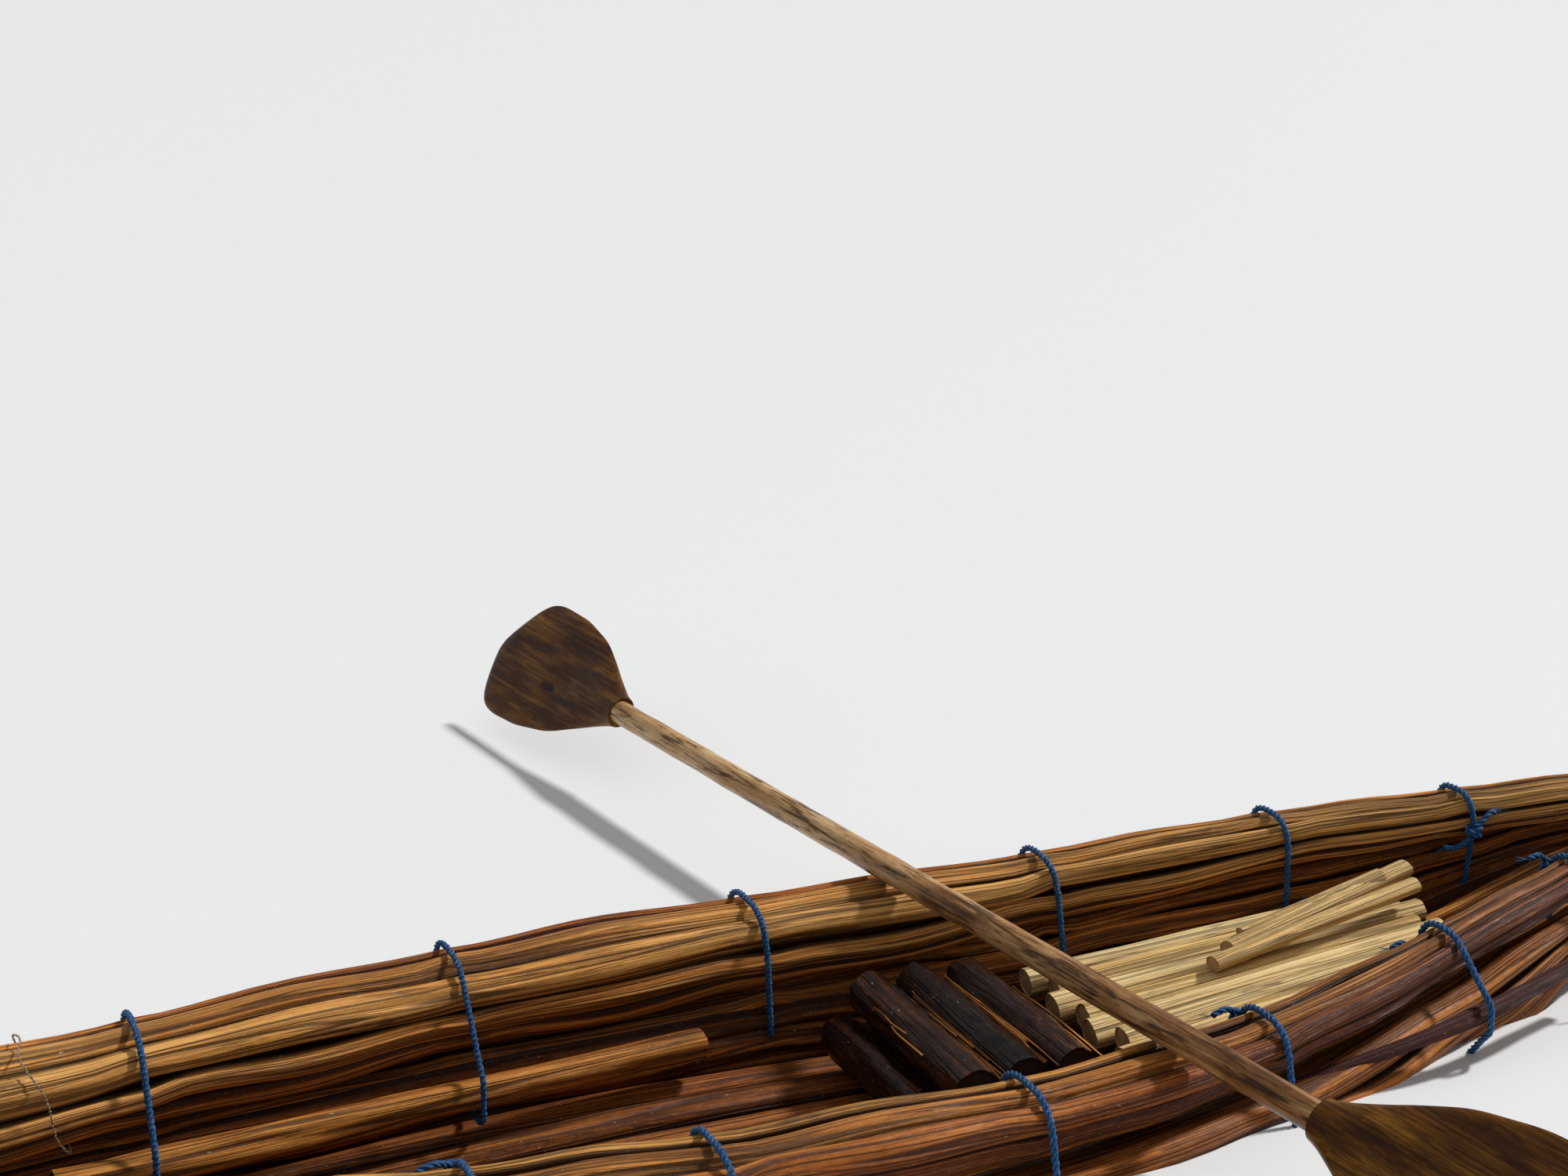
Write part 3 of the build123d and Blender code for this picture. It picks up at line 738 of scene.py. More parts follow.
def reed_material(name, stops, wet, dark_share, line_share):
    """Reed rind: lengthwise fibres, dark crease lines and mottling under a wet gloss, with painted shade in
    its grooves and seams.
    """
    shader = Shader(name)
    tone, lot, redness = shader.split(shader.attribute("stem"))
    along, y, z = shader.split(shader.attribute("rest"))
    groove, seam, _ = shader.split(shader.attribute("groove"))
    spot = shader.joined(shader.math("ADD", along, shader.times(lot, LOT_SPACING)), y, z)
    broad = shader.noise(spot, (1.3, 45, 45), detail=2)
    streak = shader.noise(spot, (3.0, 150, 150), detail=2, roughness=0.55)
    fibre = shader.noise(spot, (16, 520, 520), detail=2)
    mottle = shader.noise(spot, (70, 130, 130), detail=6, roughness=0.72, distortion=0.5)
    ridge = shader.noise(spot, (1.1, 46, 46), detail=1, roughness=0.35, distortion=0.06)
    check = shader.noise(spot, (3.2, 120, 120), detail=1, roughness=0.4, distortion=0.08)
    fade = shader.range(shader.noise(spot, (5, 40, 40), detail=2), 0.34, 0.54)
    blotch = shader.range(shader.noise(spot, (9, 45, 45), detail=5, roughness=0.6), 0.60, 0.67)
    fleck = shader.range(shader.noise(spot, (150, 330, 330), detail=1), 0.76, 0.79)
    value = shader.sway(shader.sway(shader.sway(tone, broad, 0.70), streak, 0.42), mottle, 0.50)
    colour = shader.ramp(value, stops)
    colour = shader.mix(shader.times(redness, 0.75), colour, RED_TINT, "MULTIPLY")
    colour = shader.mix(shader.times(blotch, 0.62), colour, BLOTCH)
    fine = shader.times(shader.lines(check, (0.42, 0.56), 0.040), fade)
    line = shader.math("MAXIMUM", shader.lines(ridge, (0.43, 0.56), 0.040), shader.times(fine, 0.7))
    # Painted shade in the grooves and down the seams, together with the rind's dark lines
    dark = shader.math("MAXIMUM", shader.range(groove, 0.15, 0.85), shader.times(line, line_share))
    dark = shader.times(shader.math("MAXIMUM", dark, seam), dark_share)
    colour = shader.mix(dark, colour, LINE_AND_SHADE)
    colour = shader.mix(shader.times(fleck, 0.7), colour, FLECK)
    height = shader.plus(shader.times(fibre, 0.08), streak, 0.45)
    height = shader.plus(shader.plus(height, mottle, 0.50), line, -0.6)
    normal = shader.bump(height, 0.8, RIND_RELIEF)
    rough = shader.range(mottle, 0.35, 0.7, max(0.2, 0.66 - 0.14 * wet), max(0.12, 0.48 - 0.12 * wet))
    return shader.finish((0.07 * wet, 0.13), 0.14, Base_Color=colour, Roughness=rough, Normal=normal)


PITH_RELIEF = 0.0015


def pith_material(name, pale, deep, wet):
    """The spongy pith of a cut stem, stained in patches."""
    shader = Shader(name)
    cells = shader.noise(shader.place(), (700, 700, 700), detail=3)
    stain = shader.noise(shader.place(), (40, 40, 40), detail=3)
    colour = shader.mix(shader.range(cells, 0.35, 0.65), deep, pale)
    colour = shader.mix(shader.range(stain, 0.45, 0.7), colour, deep)
    normal = shader.bump(cells, 0.8, PITH_RELIEF)
    return shader.finish((0.3 * wet, 0.2), Base_Color=colour, Roughness=0.75 - 0.35 * wet, Normal=normal)


# Rope fibres
FIBRE_RELIEF = 0.0008
HOLLOW_SHADE = 0.25  # painted shade in the hollows between strands, as a share of their darker colour


def rope_material(name, dark, pale, worn, worn_share):
    """Twisted fibres: fine lines along each strand, painted shade between strands and worn in patches."""
    shader = Shader(name)
    fibre = shader.noise(shader.attribute("rest"), (60, 3800, 3800), detail=2)
    patch = shader.noise(shader.place(), (55, 55, 55), detail=3)
    hollow = shader.split(shader.attribute("groove"))[0]
    colour = shader.mix(shader.range(fibre, 0.35, 0.65), dark, pale)
    colour = shader.mix(shader.times(shader.range(patch, 0.52, 0.72), worn_share), colour, worn)
    # Painted shade in the hollows between strands
    colour = shader.mix(shader.times(hollow, 0.8), colour, tuple(part * HOLLOW_SHADE for part in dark))
    return shader.finish(Base_Color=colour, Roughness=0.62, Normal=shader.bump(fibre, 0.7, FIBRE_RELIEF))


# Wood
GRAIN_RELIEF = 0.0014
WET_DARKER = 0.26
KNOT_ALONG, KNOT_ASIDE = 38.0, 130.0  # larger makes a smaller knot


def wood_material(name, stops, dark, wet, streak_share, wet_from, knot):
    """Hand-worked wood: long grain, dark streaks and one dark knot, wet and darker past a place along it."""
    shader = Shader(name)
    spot = shader.attribute("rest")
    along, across, _ = shader.split(spot)
    grain = shader.noise(spot, (5, 170, 170), detail=5, roughness=0.6, distortion=0.7)
    broad = shader.noise(spot, (5.5, 26, 26), detail=4, roughness=0.6)
    pore = shader.noise(spot, (34, 700, 700), detail=2)
    streak = shader.range(shader.noise(spot, (9, 120, 120), detail=4, distortion=0.5), 0.53, 0.60)
    value = shader.sway(shader.sway(0.5, broad, 1.1), grain, 0.9)
    value = shader.math("SUBTRACT", value, shader.range(along, *wet_from, 0.0, WET_DARKER))
    colour = shader.ramp(value, stops)
    colour = shader.mix(shader.times(streak, streak_share), colour, dark)
    colour = shader.mix(shader.times(shader.range(pore, 0.60, 0.66), 0.7), colour, dark)
    off = shader.times(shader.math("SUBTRACT", along, knot[0]), KNOT_ALONG)
    aside = shader.times(shader.math("SUBTRACT", across, knot[1]), KNOT_ASIDE)
    away = shader.math("ADD", shader.math("POWER", off, 2.0), shader.math("POWER", aside, 2.0))
    hole = shader.range(shader.math("ADD", away, grain), 1.6, 1.0)
    colour = shader.mix(shader.times(hole, 0.9), colour, dark)
    height = shader.plus(shader.plus(shader.times(pore, 0.3), grain, 0.6), hole, -1.5)
    normal = shader.bump(height, 0.55, GRAIN_RELIEF)
    rough = shader.range(broad, 0.35, 0.65, 0.46 - 0.1 * wet, 0.30 - 0.08 * wet)
    return shader.finish((0.12 * wet, 0.12), 0.10, Base_Color=colour, Roughness=rough, Normal=normal)


# Colours from a stem's or the wood's darkest tone to its palest, as (tone, colour)
REED_STOPS = (
    (0.02, (0.024, 0.007, 0.002)),
    (0.22, (0.120, 0.036, 0.007)),
    (0.40, (0.300, 0.096, 0.015)),
    (0.56, (0.490, 0.186, 0.030)),
    (0.72, (0.660, 0.295, 0.058)),
    (0.92, (0.800, 0.430, 0.120)),
)
CUT_STOPS = (
    (0.10, (0.260, 0.110, 0.028)),
    (0.32, (0.580, 0.285, 0.070)),
    (0.52, (0.800, 0.480, 0.155)),
    (0.74, (0.880, 0.610, 0.255)),
    (1.00, (0.920, 0.710, 0.360)),
)
WET_STOPS = (
    (0.20, (0.004, 0.001, 0.001)),
    (0.50, (0.016, 0.004, 0.002)),
    (0.70, (0.110, 0.036, 0.006)),
    (0.92, (0.420, 0.180, 0.030)),
)
STALK_STOPS = (
    (0.20, (0.022, 0.005, 0.004)),
    (0.50, (0.062, 0.018, 0.014)),
    (0.80, (0.130, 0.045, 0.034)),
)
SHAFT_STOPS = (
    (0.12, (0.060, 0.022, 0.007)),
    (0.32, (0.230, 0.100, 0.032)),
    (0.48, (0.450, 0.240, 0.090)),
    (0.72, (0.640, 0.430, 0.210)),
)
BLADE_STOPS = (
    (0.12, (0.012, 0.004, 0.001)),
    (0.42, (0.066, 0.021, 0.003)),
    (0.64, (0.165, 0.062, 0.006)),
    (0.90, (0.360, 0.175, 0.018)),
)

# A place past the end of any blade, for wood that is no darker anywhere
NOWHERE = (9.0, 10.0)

pith = pith_material("pith", pale=(0.34, 0.22, 0.10), deep=(0.10, 0.045, 0.018), wet=0.4)
pale_pith = pith_material("pale_pith", pale=(0.70, 0.50, 0.25), deep=(0.34, 0.18, 0.07), wet=0.2)
wet_pith = pith_material("wet_pith", pale=(0.060, 0.026, 0.012), deep=(0.012, 0.005, 0.003), wet=1.0)
reed = reed_material("reed", REED_STOPS, wet=0.9, dark_share=0.93, line_share=0.85)
cut_reed = reed_material("cut_reed", CUT_STOPS, wet=0.3, dark_share=0.85, line_share=0.7)
wet_reed = reed_material("wet_reed", WET_STOPS, wet=2.6, dark_share=0.9, line_share=0.6)
stalk_rind = reed_material("stalk_rind", STALK_STOPS, wet=0.2, dark_share=0.6, line_share=0.4)
blue_twine = rope_material(
    "blue_twine", dark=(0.007, 0.056, 0.165), pale=(0.018, 0.130, 0.345), worn=(0.24, 0.32, 0.40),
    worn_share=0.3,
)
sisal = rope_material(
    "sisal", dark=(0.200, 0.125, 0.055), pale=(0.420, 0.300, 0.160), worn=(0.10, 0.055, 0.025),
    worn_share=0.5,
)
pale_string = rope_material(
    "pale_string", dark=(0.340, 0.270, 0.170), pale=(0.560, 0.480, 0.340), worn=(0.20, 0.13, 0.07),
    worn_share=0.4,
)
paddle_wood = wood_material(
    "paddle_wood", SHAFT_STOPS, dark=(0.030, 0.011, 0.004), wet=1.2, streak_share=0.80, wet_from=(1.05, 1.62),
    knot=(0.62, 0.012),
)
blade_wood = wood_material(
    "blade_wood", BLADE_STOPS, dark=(0.012, 0.004, 0.001), wet=0.4, streak_share=0.45, wet_from=NOWHERE,
    knot=(0.20, -0.022),
)

# Ropes
STRAND_OFFSET = 0.27  # from the rope's middle, as a share of its diameter
STRAND_RADIUS = 0.29  # share of the rope's diameter
ROPE_SPACING = 0.0045  # between the rings along a strand
FIBRE_SPACING = 0.008
FIBRE_LAY = 1.0
ROPE_EVENED_SHARE = 0.04  # of the way round, over which a rope's outward direction is evened


def laid_rope(name, length, diameter, lay, sides=6, strands=3, spacing=ROPE_SPACING):
    """A straight rope of strands twisted together, along X from the origin."""
    parts = []
    offset = diameter * STRAND_OFFSET
    for i in range(strands):
        turn = 2 * math.pi * i / strands
        middle = (length / 2, offset * math.cos(turn), offset * math.sin(turn))
        deselect()
        bpy.ops.mesh.primitive_cylinder_add(
            vertices=sides, radius=diameter * STRAND_RADIUS, depth=length, location=middle,
            rotation=(0, math.pi / 2, 0),
        )
        parts.append(bpy.context.object)
        place(parts[-1])
        lengthwise_cuts(parts[-1], max(2, round(length / spacing)))
    rope = join(parts, name)
    spots = points_of(rope)
    note(rope, "rest", spots)
    # How far in towards the rope's middle each point lies, for the painted shade between strands
    inward = 1 - np.clip(np.hypot(spots[:, 1], spots[:, 2]) / (diameter * 0.5), 0, 1)
    note(rope, "groove", np.column_stack((inward, inward * 0, inward * 0)))
    twist = rope.modifiers.new("lay", "SIMPLE_DEFORM")
    twist.deform_method = "TWIST"
    twist.deform_axis = "X"
    twist.angle = 2 * math.pi * length / lay
    apply_all(rope)
    smooth(rope)
    return rope


def rope_path(points, diameter, lay, name, sides=6, strands=3, spacing=ROPE_SPACING):
    """A rope along some points."""
    points = [Vector(point) for point in points]
    length = sum((b - a).length for a, b in zip(points, points[1:]))
    rope = laid_rope(name, length, diameter, lay, sides, strands, spacing)
    bend_along(rope, [(tuple(point), 1, 0) for point in points], twist="MINIMUM")
    return rope


def thread(points, diameter, name):
    """A single fibre along some points, as thick as one strand of a rope of this diameter."""
    return rope_path(points, diameter, FIBRE_LAY, name, sides=4, strands=1, spacing=FIBRE_SPACING)


def loop_points(node, x, inboard, inset, start, steps=28, slant=0.0):
    """Points of a rope round a CAD loop, from a share of it round to the same place."""
    loop, _ = even_loop(section(node, x), inboard)
    middle = loop[:, 1].mean()
    points = []
    for i in range(steps + 1):
        share = start + i / steps
        spot = on_loop(loop, share) - outward(loop, share, ROPE_EVENED_SHARE) * inset
        points.append((x + slant * (spot[1] - middle), *spot))
    return points


# Ties
TIE_DIAMETER = 0.0078
TIE_LAY = 0.026  # length of one twist
TIE_INSET = 0.0040  # of its middle, from the outline of the CAD tie
TIE_SLANT = 0.06  # the most that it leans along the boat

# Reef knot, in shares of the tie's diameter
KNOT_BOW = 0.95
KNOT_ASTRIDE = 0.45
KNOT_LEAN = 0.35  # share of a bow's size
KNOT_LIFT = 0.35
KNOT_ROPE = 0.9
KNOT_POINTS = 10  # round each bow
KNOT_SPACING = 0.003  # between the rings along its bows

# Points along a knot's tail, as (across, along the rope, tie diameters out)
KNOT_TAIL = (
    (0, TIE_DIAMETER * 0.8, 0.5), (0.010, 0.012, 0.55), (0.024, 0.020, 0.15), (0.040, 0.018, -0.2),
)

# Frayed fibres at each tail's end
FRAYS = 6
FRAY_ROOT = 0.7  # where they start along its last stretch
FRAY_DIAMETER = 0.0011
FRAY_SPREAD = 0.007
FRAY_REACH = (0.008, 0.018)
FRAY_RISE = (-0.001, 0.006)


def frayed_end(tail, side):
    """Loose fibres that spread from the end of a knot's tail."""
    end = Vector(tail[-1])
    root = Vector(tail[-2]).lerp(end, FRAY_ROOT)
    fibres = []
    for _ in range(FRAYS):
        spread = random.uniform(-FRAY_SPREAD, FRAY_SPREAD)
        far = end + Vector((side * random.uniform(*FRAY_REACH), spread, random.uniform(*FRAY_RISE)))
        fibres.append(thread([root, end, far], FRAY_DIAMETER, "fray"))
    return fibres


def tie_knot():
    """A small reef knot at the origin: the rope runs along Y, Z is out, and two tails lie to either side."""
    parts = []
    bow = TIE_DIAMETER * KNOT_BOW
    for side in (-1, 1):
        ring = []
        for i in range(KNOT_POINTS + 1):
            turn = 2 * math.pi * i / KNOT_POINTS
            aside = side * TIE_DIAMETER * KNOT_ASTRIDE + bow * KNOT_LEAN * math.cos(turn)
            ring.append((side * bow * math.cos(turn), aside, TIE_DIAMETER * KNOT_LIFT + bow * math.sin(turn)))
        parts.append(rope_path(ring, TIE_DIAMETER * KNOT_ROPE, TIE_LAY, "knot_turn", spacing=KNOT_SPACING))
        tail = [(side * across, side * along, TIE_DIAMETER * out) for across, along, out in KNOT_TAIL]
        parts.append(rope_path(tail, TIE_DIAMETER * KNOT_ROPE, TIE_LAY, "knot_tail"))
        parts += frayed_end(tail, side)
    return join(parts, "knot")


def knot_at(master, name, points):
    """A copy of the knot where a rope's points begin and end."""
    start = Vector(points[0])
    along = (Vector(points[1]) - Vector(points[-2])).normalized()
    middle = sum((Vector(point) for point in points[:-1]), Vector()) / (len(points) - 1)
    out = start - middle
    out = (out - along * out.dot(along)).normalized()
    across = along.cross(out)
    twin = copy_of(master, name)
    turned = Matrix((across, along, out)).transposed().to_4x4()
    twin.data.transform(Matrix.Translation(start) @ turned)
    return twin


# Where each tie is knotted, from the stern forward, as a share of the way round from the bundle's inner face
KNOTS = {
    "port": (0.10, 0.06, 0.12, 0.07, 0.92, 0.11, 0.09, 0.94, 0.10, 0.08),
    "starboard": (0.90, 0.06, 0.93, 0.55, 0.60, 0.52, 0.58, 0.55, 0.90, 0.55),
}


def tie_ropes(node, inboard, starts, knot):
    """Every tie of a CAD node, each knotted where the table says."""
    parts = []
    for i, x in enumerate(grip_places(node)):
        slant = random.uniform(-TIE_SLANT, TIE_SLANT)
        points = loop_points(node, x, inboard, TIE_INSET, starts[i % len(starts)], slant=slant)
        parts.append(rope_path(points, TIE_DIAMETER, TIE_LAY, f"{node}_{i}"))
        parts.append(knot_at(knot, f"{node}_knot_{i}", points))
    finish_piece(join(parts, f"{node}_rope"), (blue_twine,), "blue_twine", node)


# Turns of rope right round the hull
BINDING_SHARES = (0.125, 0.5, 0.875)  # of each binding's length
BINDING_START = 0.2  # share of the way round
TURN_STEPS = 40
GIRTH_DIAMETER = 0.0052
GIRTH_INSET = 0.0025  # of its middle, from the outline of the CAD girth
GIRTH_LAY = 0.02
GIRTH_START = 0.3  # share of the way round
GIRTH_SIDES = 5


def binding(node, knot):
    """Turns of rope that gather one end of the hull, with a knot on the last of them."""
    low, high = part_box(node)
    parts = []
    for i, share in enumerate(BINDING_SHARES):
        x = low.x + (high.x - low.x) * share
        points = loop_points(node, x, INBOARD["port"], TIE_INSET, BINDING_START, steps=TURN_STEPS)
        parts.append(rope_path(points, TIE_DIAMETER, TIE_LAY, f"{node}_{i}"))
    parts.append(knot_at(knot, f"{node}_knot", points))
    finish_piece(join(parts, f"{node}_rope"), (blue_twine,), "blue_twine", node)


def girths(node, places):
    """A sisal girth round the raft at each of its places."""
    parts = []
    for i, x in enumerate(places):
        points = loop_points(node, x, INBOARD["port"], GIRTH_INSET, GIRTH_START, steps=TURN_STEPS)
        parts.append(rope_path(points, GIRTH_DIAMETER, GIRTH_LAY, f"{node}_{i}", GIRTH_SIDES))
    finish_piece(join(parts, f"{node}_rope"), (sisal,), "sisal", node)


# Split reeds askew on the deck's starboard third, as (fore x, fore y, aft x, width)
STRAYS = ((-1.09, -0.040, -1.372, 0.034), (-1.13, -0.075, -1.330, 0.026), (-1.05, -0.010, -1.350, 0.030))
STRAY_RISE = 0.026  # of their aft ends over the deck's top
STRAY_DEPTH = 0.020  # of their fore ends under it
STRAY_ROLL = 0.2
STRAY_FLATNESS = 0.7


def stray_reeds(masters):
    """A few split reeds that lie askew on the deck, their aft ends against the starboard gunwale."""
    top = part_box("deck_starboard")[1].z
    tone, redness = DECK_TONES[-1]
    reeds = []
    for i, (fore_x, fore_y, aft_x, width) in enumerate(STRAYS):
        inner = section("starboard_gunwale", aft_x)[:, 0].max() + width / 2 + i * width
        aft, fore = Vector((aft_x, inner, top + STRAY_RISE)), Vector((fore_x, fore_y, top - STRAY_DEPTH))
        stations = [(tuple(aft.lerp(fore, share)), 1, STRAY_ROLL) for share in (0, 0.5, 1)]
        reeds.append(dressed_stem(masters[i], f"stray_{i}", width, tone, redness, stations, STRAY_FLATNESS))
    finish_piece(join(reeds, "deck_stray_reeds"), (cut_reed, pale_pith), "cut_reed")


# A thin string round the starboard gunwale
STRING_X = 0.283
STRING_START = 0.6  # share of the way round
STRING_STEPS = 36
STRING_PROUD = 0.0050  # off the gunwale's outline
STRING_SLANT = 0.34
STRING_WANDER = 0.004
STRING_WAVE = 0.7  # radians from point to point
STRING_DIAMETER = 0.0032
STRING_LAY = 0.012
STRING_SPACING = 0.004


def starboard_string():
    """A thin sisal string wound once, askew, round the starboard gunwale."""
    points = loop_points(
        "starboard_gunwale", STRING_X, INBOARD["starboard"], -STRING_PROUD, STRING_START, steps=STRING_STEPS,
        slant=STRING_SLANT,
    )
    points = [(x + STRING_WANDER * math.sin(STRING_WAVE * i), y, z) for i, (x, y, z) in enumerate(points)]
    string = rope_path(
        points, STRING_DIAMETER, STRING_LAY, "starboard_string", sides=5, strands=2, spacing=STRING_SPACING,
    )
    finish_piece(string, (pale_string,), "sisal")


# A twig near the side stalk's aft end, and its points from its root
TWIG_ROOT = 0.018  # from the stalk's end
TWIG_BENDS = ((0, 0, 0), (-0.006, 0.010, -0.010), (-0.010, 0.014, -0.032))
TWIG_DIAMETER = 0.005


def stalk_twig(axis):
    """A short side shoot that hangs from the side stalk's aft end."""
    end, further = Vector(axis[0][0]), Vector(axis[1][0])
    root = end + (further - end).normalized() * TWIG_ROOT
    twig = thread([root + Vector(bend) for bend in TWIG_BENDS], TWIG_DIAMETER, "stalk_twig")
    finish_piece(twig, (wet_pith,), "wet_reed")


# Paddle
SHAFT_SIDES = 28
SHAFT_CUTS = 60
SHAFT_RADIUS = 0.017
SHAFT_TOOLING = (0.05, 0.0022, "SOFT_NOISE")  # marks of the tool, as (size, depth, kind)
BLADE_SIDES = 48
BLADE_CUTS = 79
BLADE_EVENING = 13  # neighbouring cuts of its outline that are evened together
BLADE_TOOLING = (0.07, 0.0016, "SOFT_NOISE")
TIP_ROUNDING = 0.075
TIP_LEFT = 0.10  # square of the share of its width that is left at the tip
TIP_FULLNESS = 2.4


def blade_frame(node, root, heading):
    """The matrix that lays a CAD blade along X from its root, flat on the X and Y plane."""
    spots = points_of(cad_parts[node]) - np.array(root)
    along = np.array(heading)
    off = spots - np.outer(spots @ along, along)
    across = np.linalg.eigh(off.T @ off)[1][:, -1]
    across *= np.sign(across[2]) or 1
    out = np.cross(along, across)
    return Matrix.Translation(root) @ Matrix(np.array((along, across, out)).T.tolist()).to_4x4()


def carved_blade(node, root, heading):
    """A blade carved thin to its edges, in the outline of its CAD node."""
    laid = blade_frame(node, root, heading)
    flat = copy_of(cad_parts[node], f"{node}_flat")
    flat.data.transform(laid.inverted())
    start, end = points_of(flat)[:, 0].min(), points_of(flat)[:, 0].max()
    deselect()
    bpy.ops.mesh.primitive_cylinder_add(
        vertices=BLADE_SIDES, radius=1, depth=end - start, end_fill_type="NGON",
        location=((start + end) / 2, 0, 0), rotation=(0, math.pi / 2, 0),
    )
    blade = bpy.context.object
    blade.name = f"{node}_carved"
    place(blade)
    lengthwise_cuts(blade, BLADE_CUTS)
    marks = np.linspace(start, end, BLADE_CUTS + 2)
    cuts = [np.abs(cut_points(flat, mark)[:, 1:]).max(0) for mark in marks]
    ahead = BLADE_EVENING // 2
    window = np.hanning(BLADE_EVENING + 2)[1:-1]
    halves = np.pad(np.array(cuts), ((ahead, ahead), (0, 0)), mode="edge")
    halves = np.column_stack([np.convolve(halves[:, i], window / window.sum(), mode="valid") for i in (0, 1)])
    nose = np.clip((marks - (end - TIP_ROUNDING)) / TIP_ROUNDING, 0, 1)
    halves[:, 0] *= np.sqrt(1 - (1 - TIP_LEFT) * nose ** TIP_FULLNESS)
    spots = points_of(blade)
    sizes = np.column_stack([np.interp(spots[:, 0], marks, halves[:, i]) for i in (0, 1)])
    blade.data.vertices.foreach_set("co", np.column_stack((spots[:, 0], spots[:, 1:] * sizes)).ravel())
    blade.data.update()
    crease(blade, *BLADE_TOOLING, mid_level=0.5)
    apply_all(blade)
    note(blade, "rest", points_of(blade))
    smooth(blade)
    blade.data.transform(laid)
    discard([flat])
    finish_piece(blade, (blade_wood,), "blade_wood", node)


def paddle():
    """The shaft, a long round pole a little uneven from the tool, and both blades."""
    (start, _), *_, (end, _) = node_axes("paddle_shaft", ACROSS)[0]
    start, end = Vector(start), Vector(end)
    run = end - start
    turn = run.to_track_quat("X", "Z").to_matrix().to_4x4()
    deselect()
    bpy.ops.mesh.primitive_cylinder_add(
        vertices=SHAFT_SIDES, radius=SHAFT_RADIUS, depth=run.length, end_fill_type="NGON",
        location=(run.length / 2, 0, 0), rotation=(0, math.pi / 2, 0),
    )
    shaft = bpy.context.object
    shaft.name = "paddle_pole"
    place(shaft)
    lengthwise_cuts(shaft, SHAFT_CUTS)
    crease(shaft, *SHAFT_TOOLING, mid_level=0.5)
    apply_all(shaft)
    note(shaft, "rest", points_of(shaft))
    smooth(shaft)
    shaft.data.transform(Matrix.Translation(start) @ turn)
    finish_piece(shaft, (paddle_wood,), "paddle_wood", "paddle_shaft")
    carved_blade("paddle_port_blade", end, run.normalized())
    carved_blade("paddle_starboard_blade", start, -run.normalized())


# Strips of reed in the hollows beside each upper seat log
STRIPS = 7  # for each log
STRIP_POINTS = 4
STRIP_DIAMETER = 0.0042
STRIP_SIZES = (0.7, 1.5)
STRIP_REACH = (0.02, 0.98)  # shares of the log's length
STRIP_ASIDE = (0.40, 0.62)  # shares of its width
STRIP_LIFT = (0.06, 0.26)  # shares of its width
STRIP_WANDER = 0.002
STRIP_TONES = (0.55, 0.85)
STRIP_REDNESS = 0.6


def seat_strips(axes):
    """Wet orange reed strips in the hollows between the seat's upper logs."""
    parts = []
    for (near, width), (far, _) in [(row[0], row[-1]) for row in axes]:
        near, far = Vector(near), Vector(far)
        for _ in range(STRIPS):
            side = random.choice((-1, 1)) * random.uniform(*STRIP_ASIDE) * width
            lift = random.uniform(*STRIP_LIFT) * width
            points = []
            for share in sorted(random.uniform(*STRIP_REACH) for _ in range(STRIP_POINTS)):
                aside = side + random.uniform(-STRIP_WANDER, STRIP_WANDER)
                points.append(near.lerp(far, share) + Vector((aside, 0, lift)))
            strip = thread(points, STRIP_DIAMETER * random.uniform(*STRIP_SIZES), "strip")
            tone, lot = random.uniform(*STRIP_TONES), random.random()
            note(strip, "stem", np.tile((tone, lot, STRIP_REDNESS), (len(strip.data.vertices), 1)))
            parts.append(strip)
    finish_piece(join(parts, "seat_strands"), (reed,), "reed")


# Stage
def make_camera():
    lens = bpy.data.cameras.new("camera")
    lens.lens, lens.sensor_width = LENS_MM, SENSOR_MM
    camera = bpy.data.objects.new("camera", lens)
    bpy.context.scene.collection.objects.link(camera)
    level = Vector((*CAMERA_HEADING, 0)).normalized()
    look = level * math.cos(CAMERA_PITCH) - Vector((0, 0, math.sin(CAMERA_PITCH)))
    camera.rotation_mode = "QUATERNION"
    camera.rotation_quaternion = look.to_track_quat("-Z", "Y")
    camera.location = CAMERA_PLACE
    bpy.context.scene.camera = camera


# The floor, at the waterline and open inside the hull
FLOOR_GROWTH = (60, 240, 1)  # how many times its opening it measures
FLOOR_COLOUR = (0.78, 0.78, 0.77, 1)
FLOOR_ROUGHNESS = 0.7
HULL_NODES = ("raft_centre", "raft_{}", "{}_side", "{}_gunwale")
HULL_OPENING = (-1.52, 1.38)  # from aft to fore
OPENING_STEPS = 29
OPENING_INSET = 0.014  # inside the hull's outline
WATERLINE_BAND = 0.012  # how near the waterline the hull is measured


def waterline_reach(x, side):
    """How far the hull reaches from its middle on one side at the waterline."""
    reach = 0
    for name in HULL_NODES:
        node = name.format("port" if side > 0 else "starboard")
        low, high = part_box(node)
        if not low.x < x < high.x:
            continue
        loop, _ = even_loop(section(node, x), -side)
        close = np.abs(loop[:, 1] - WATERLINE) < WATERLINE_BAND
        if close.any():
            reach = max(reach, (loop[close, 0] * side).max())
    return reach


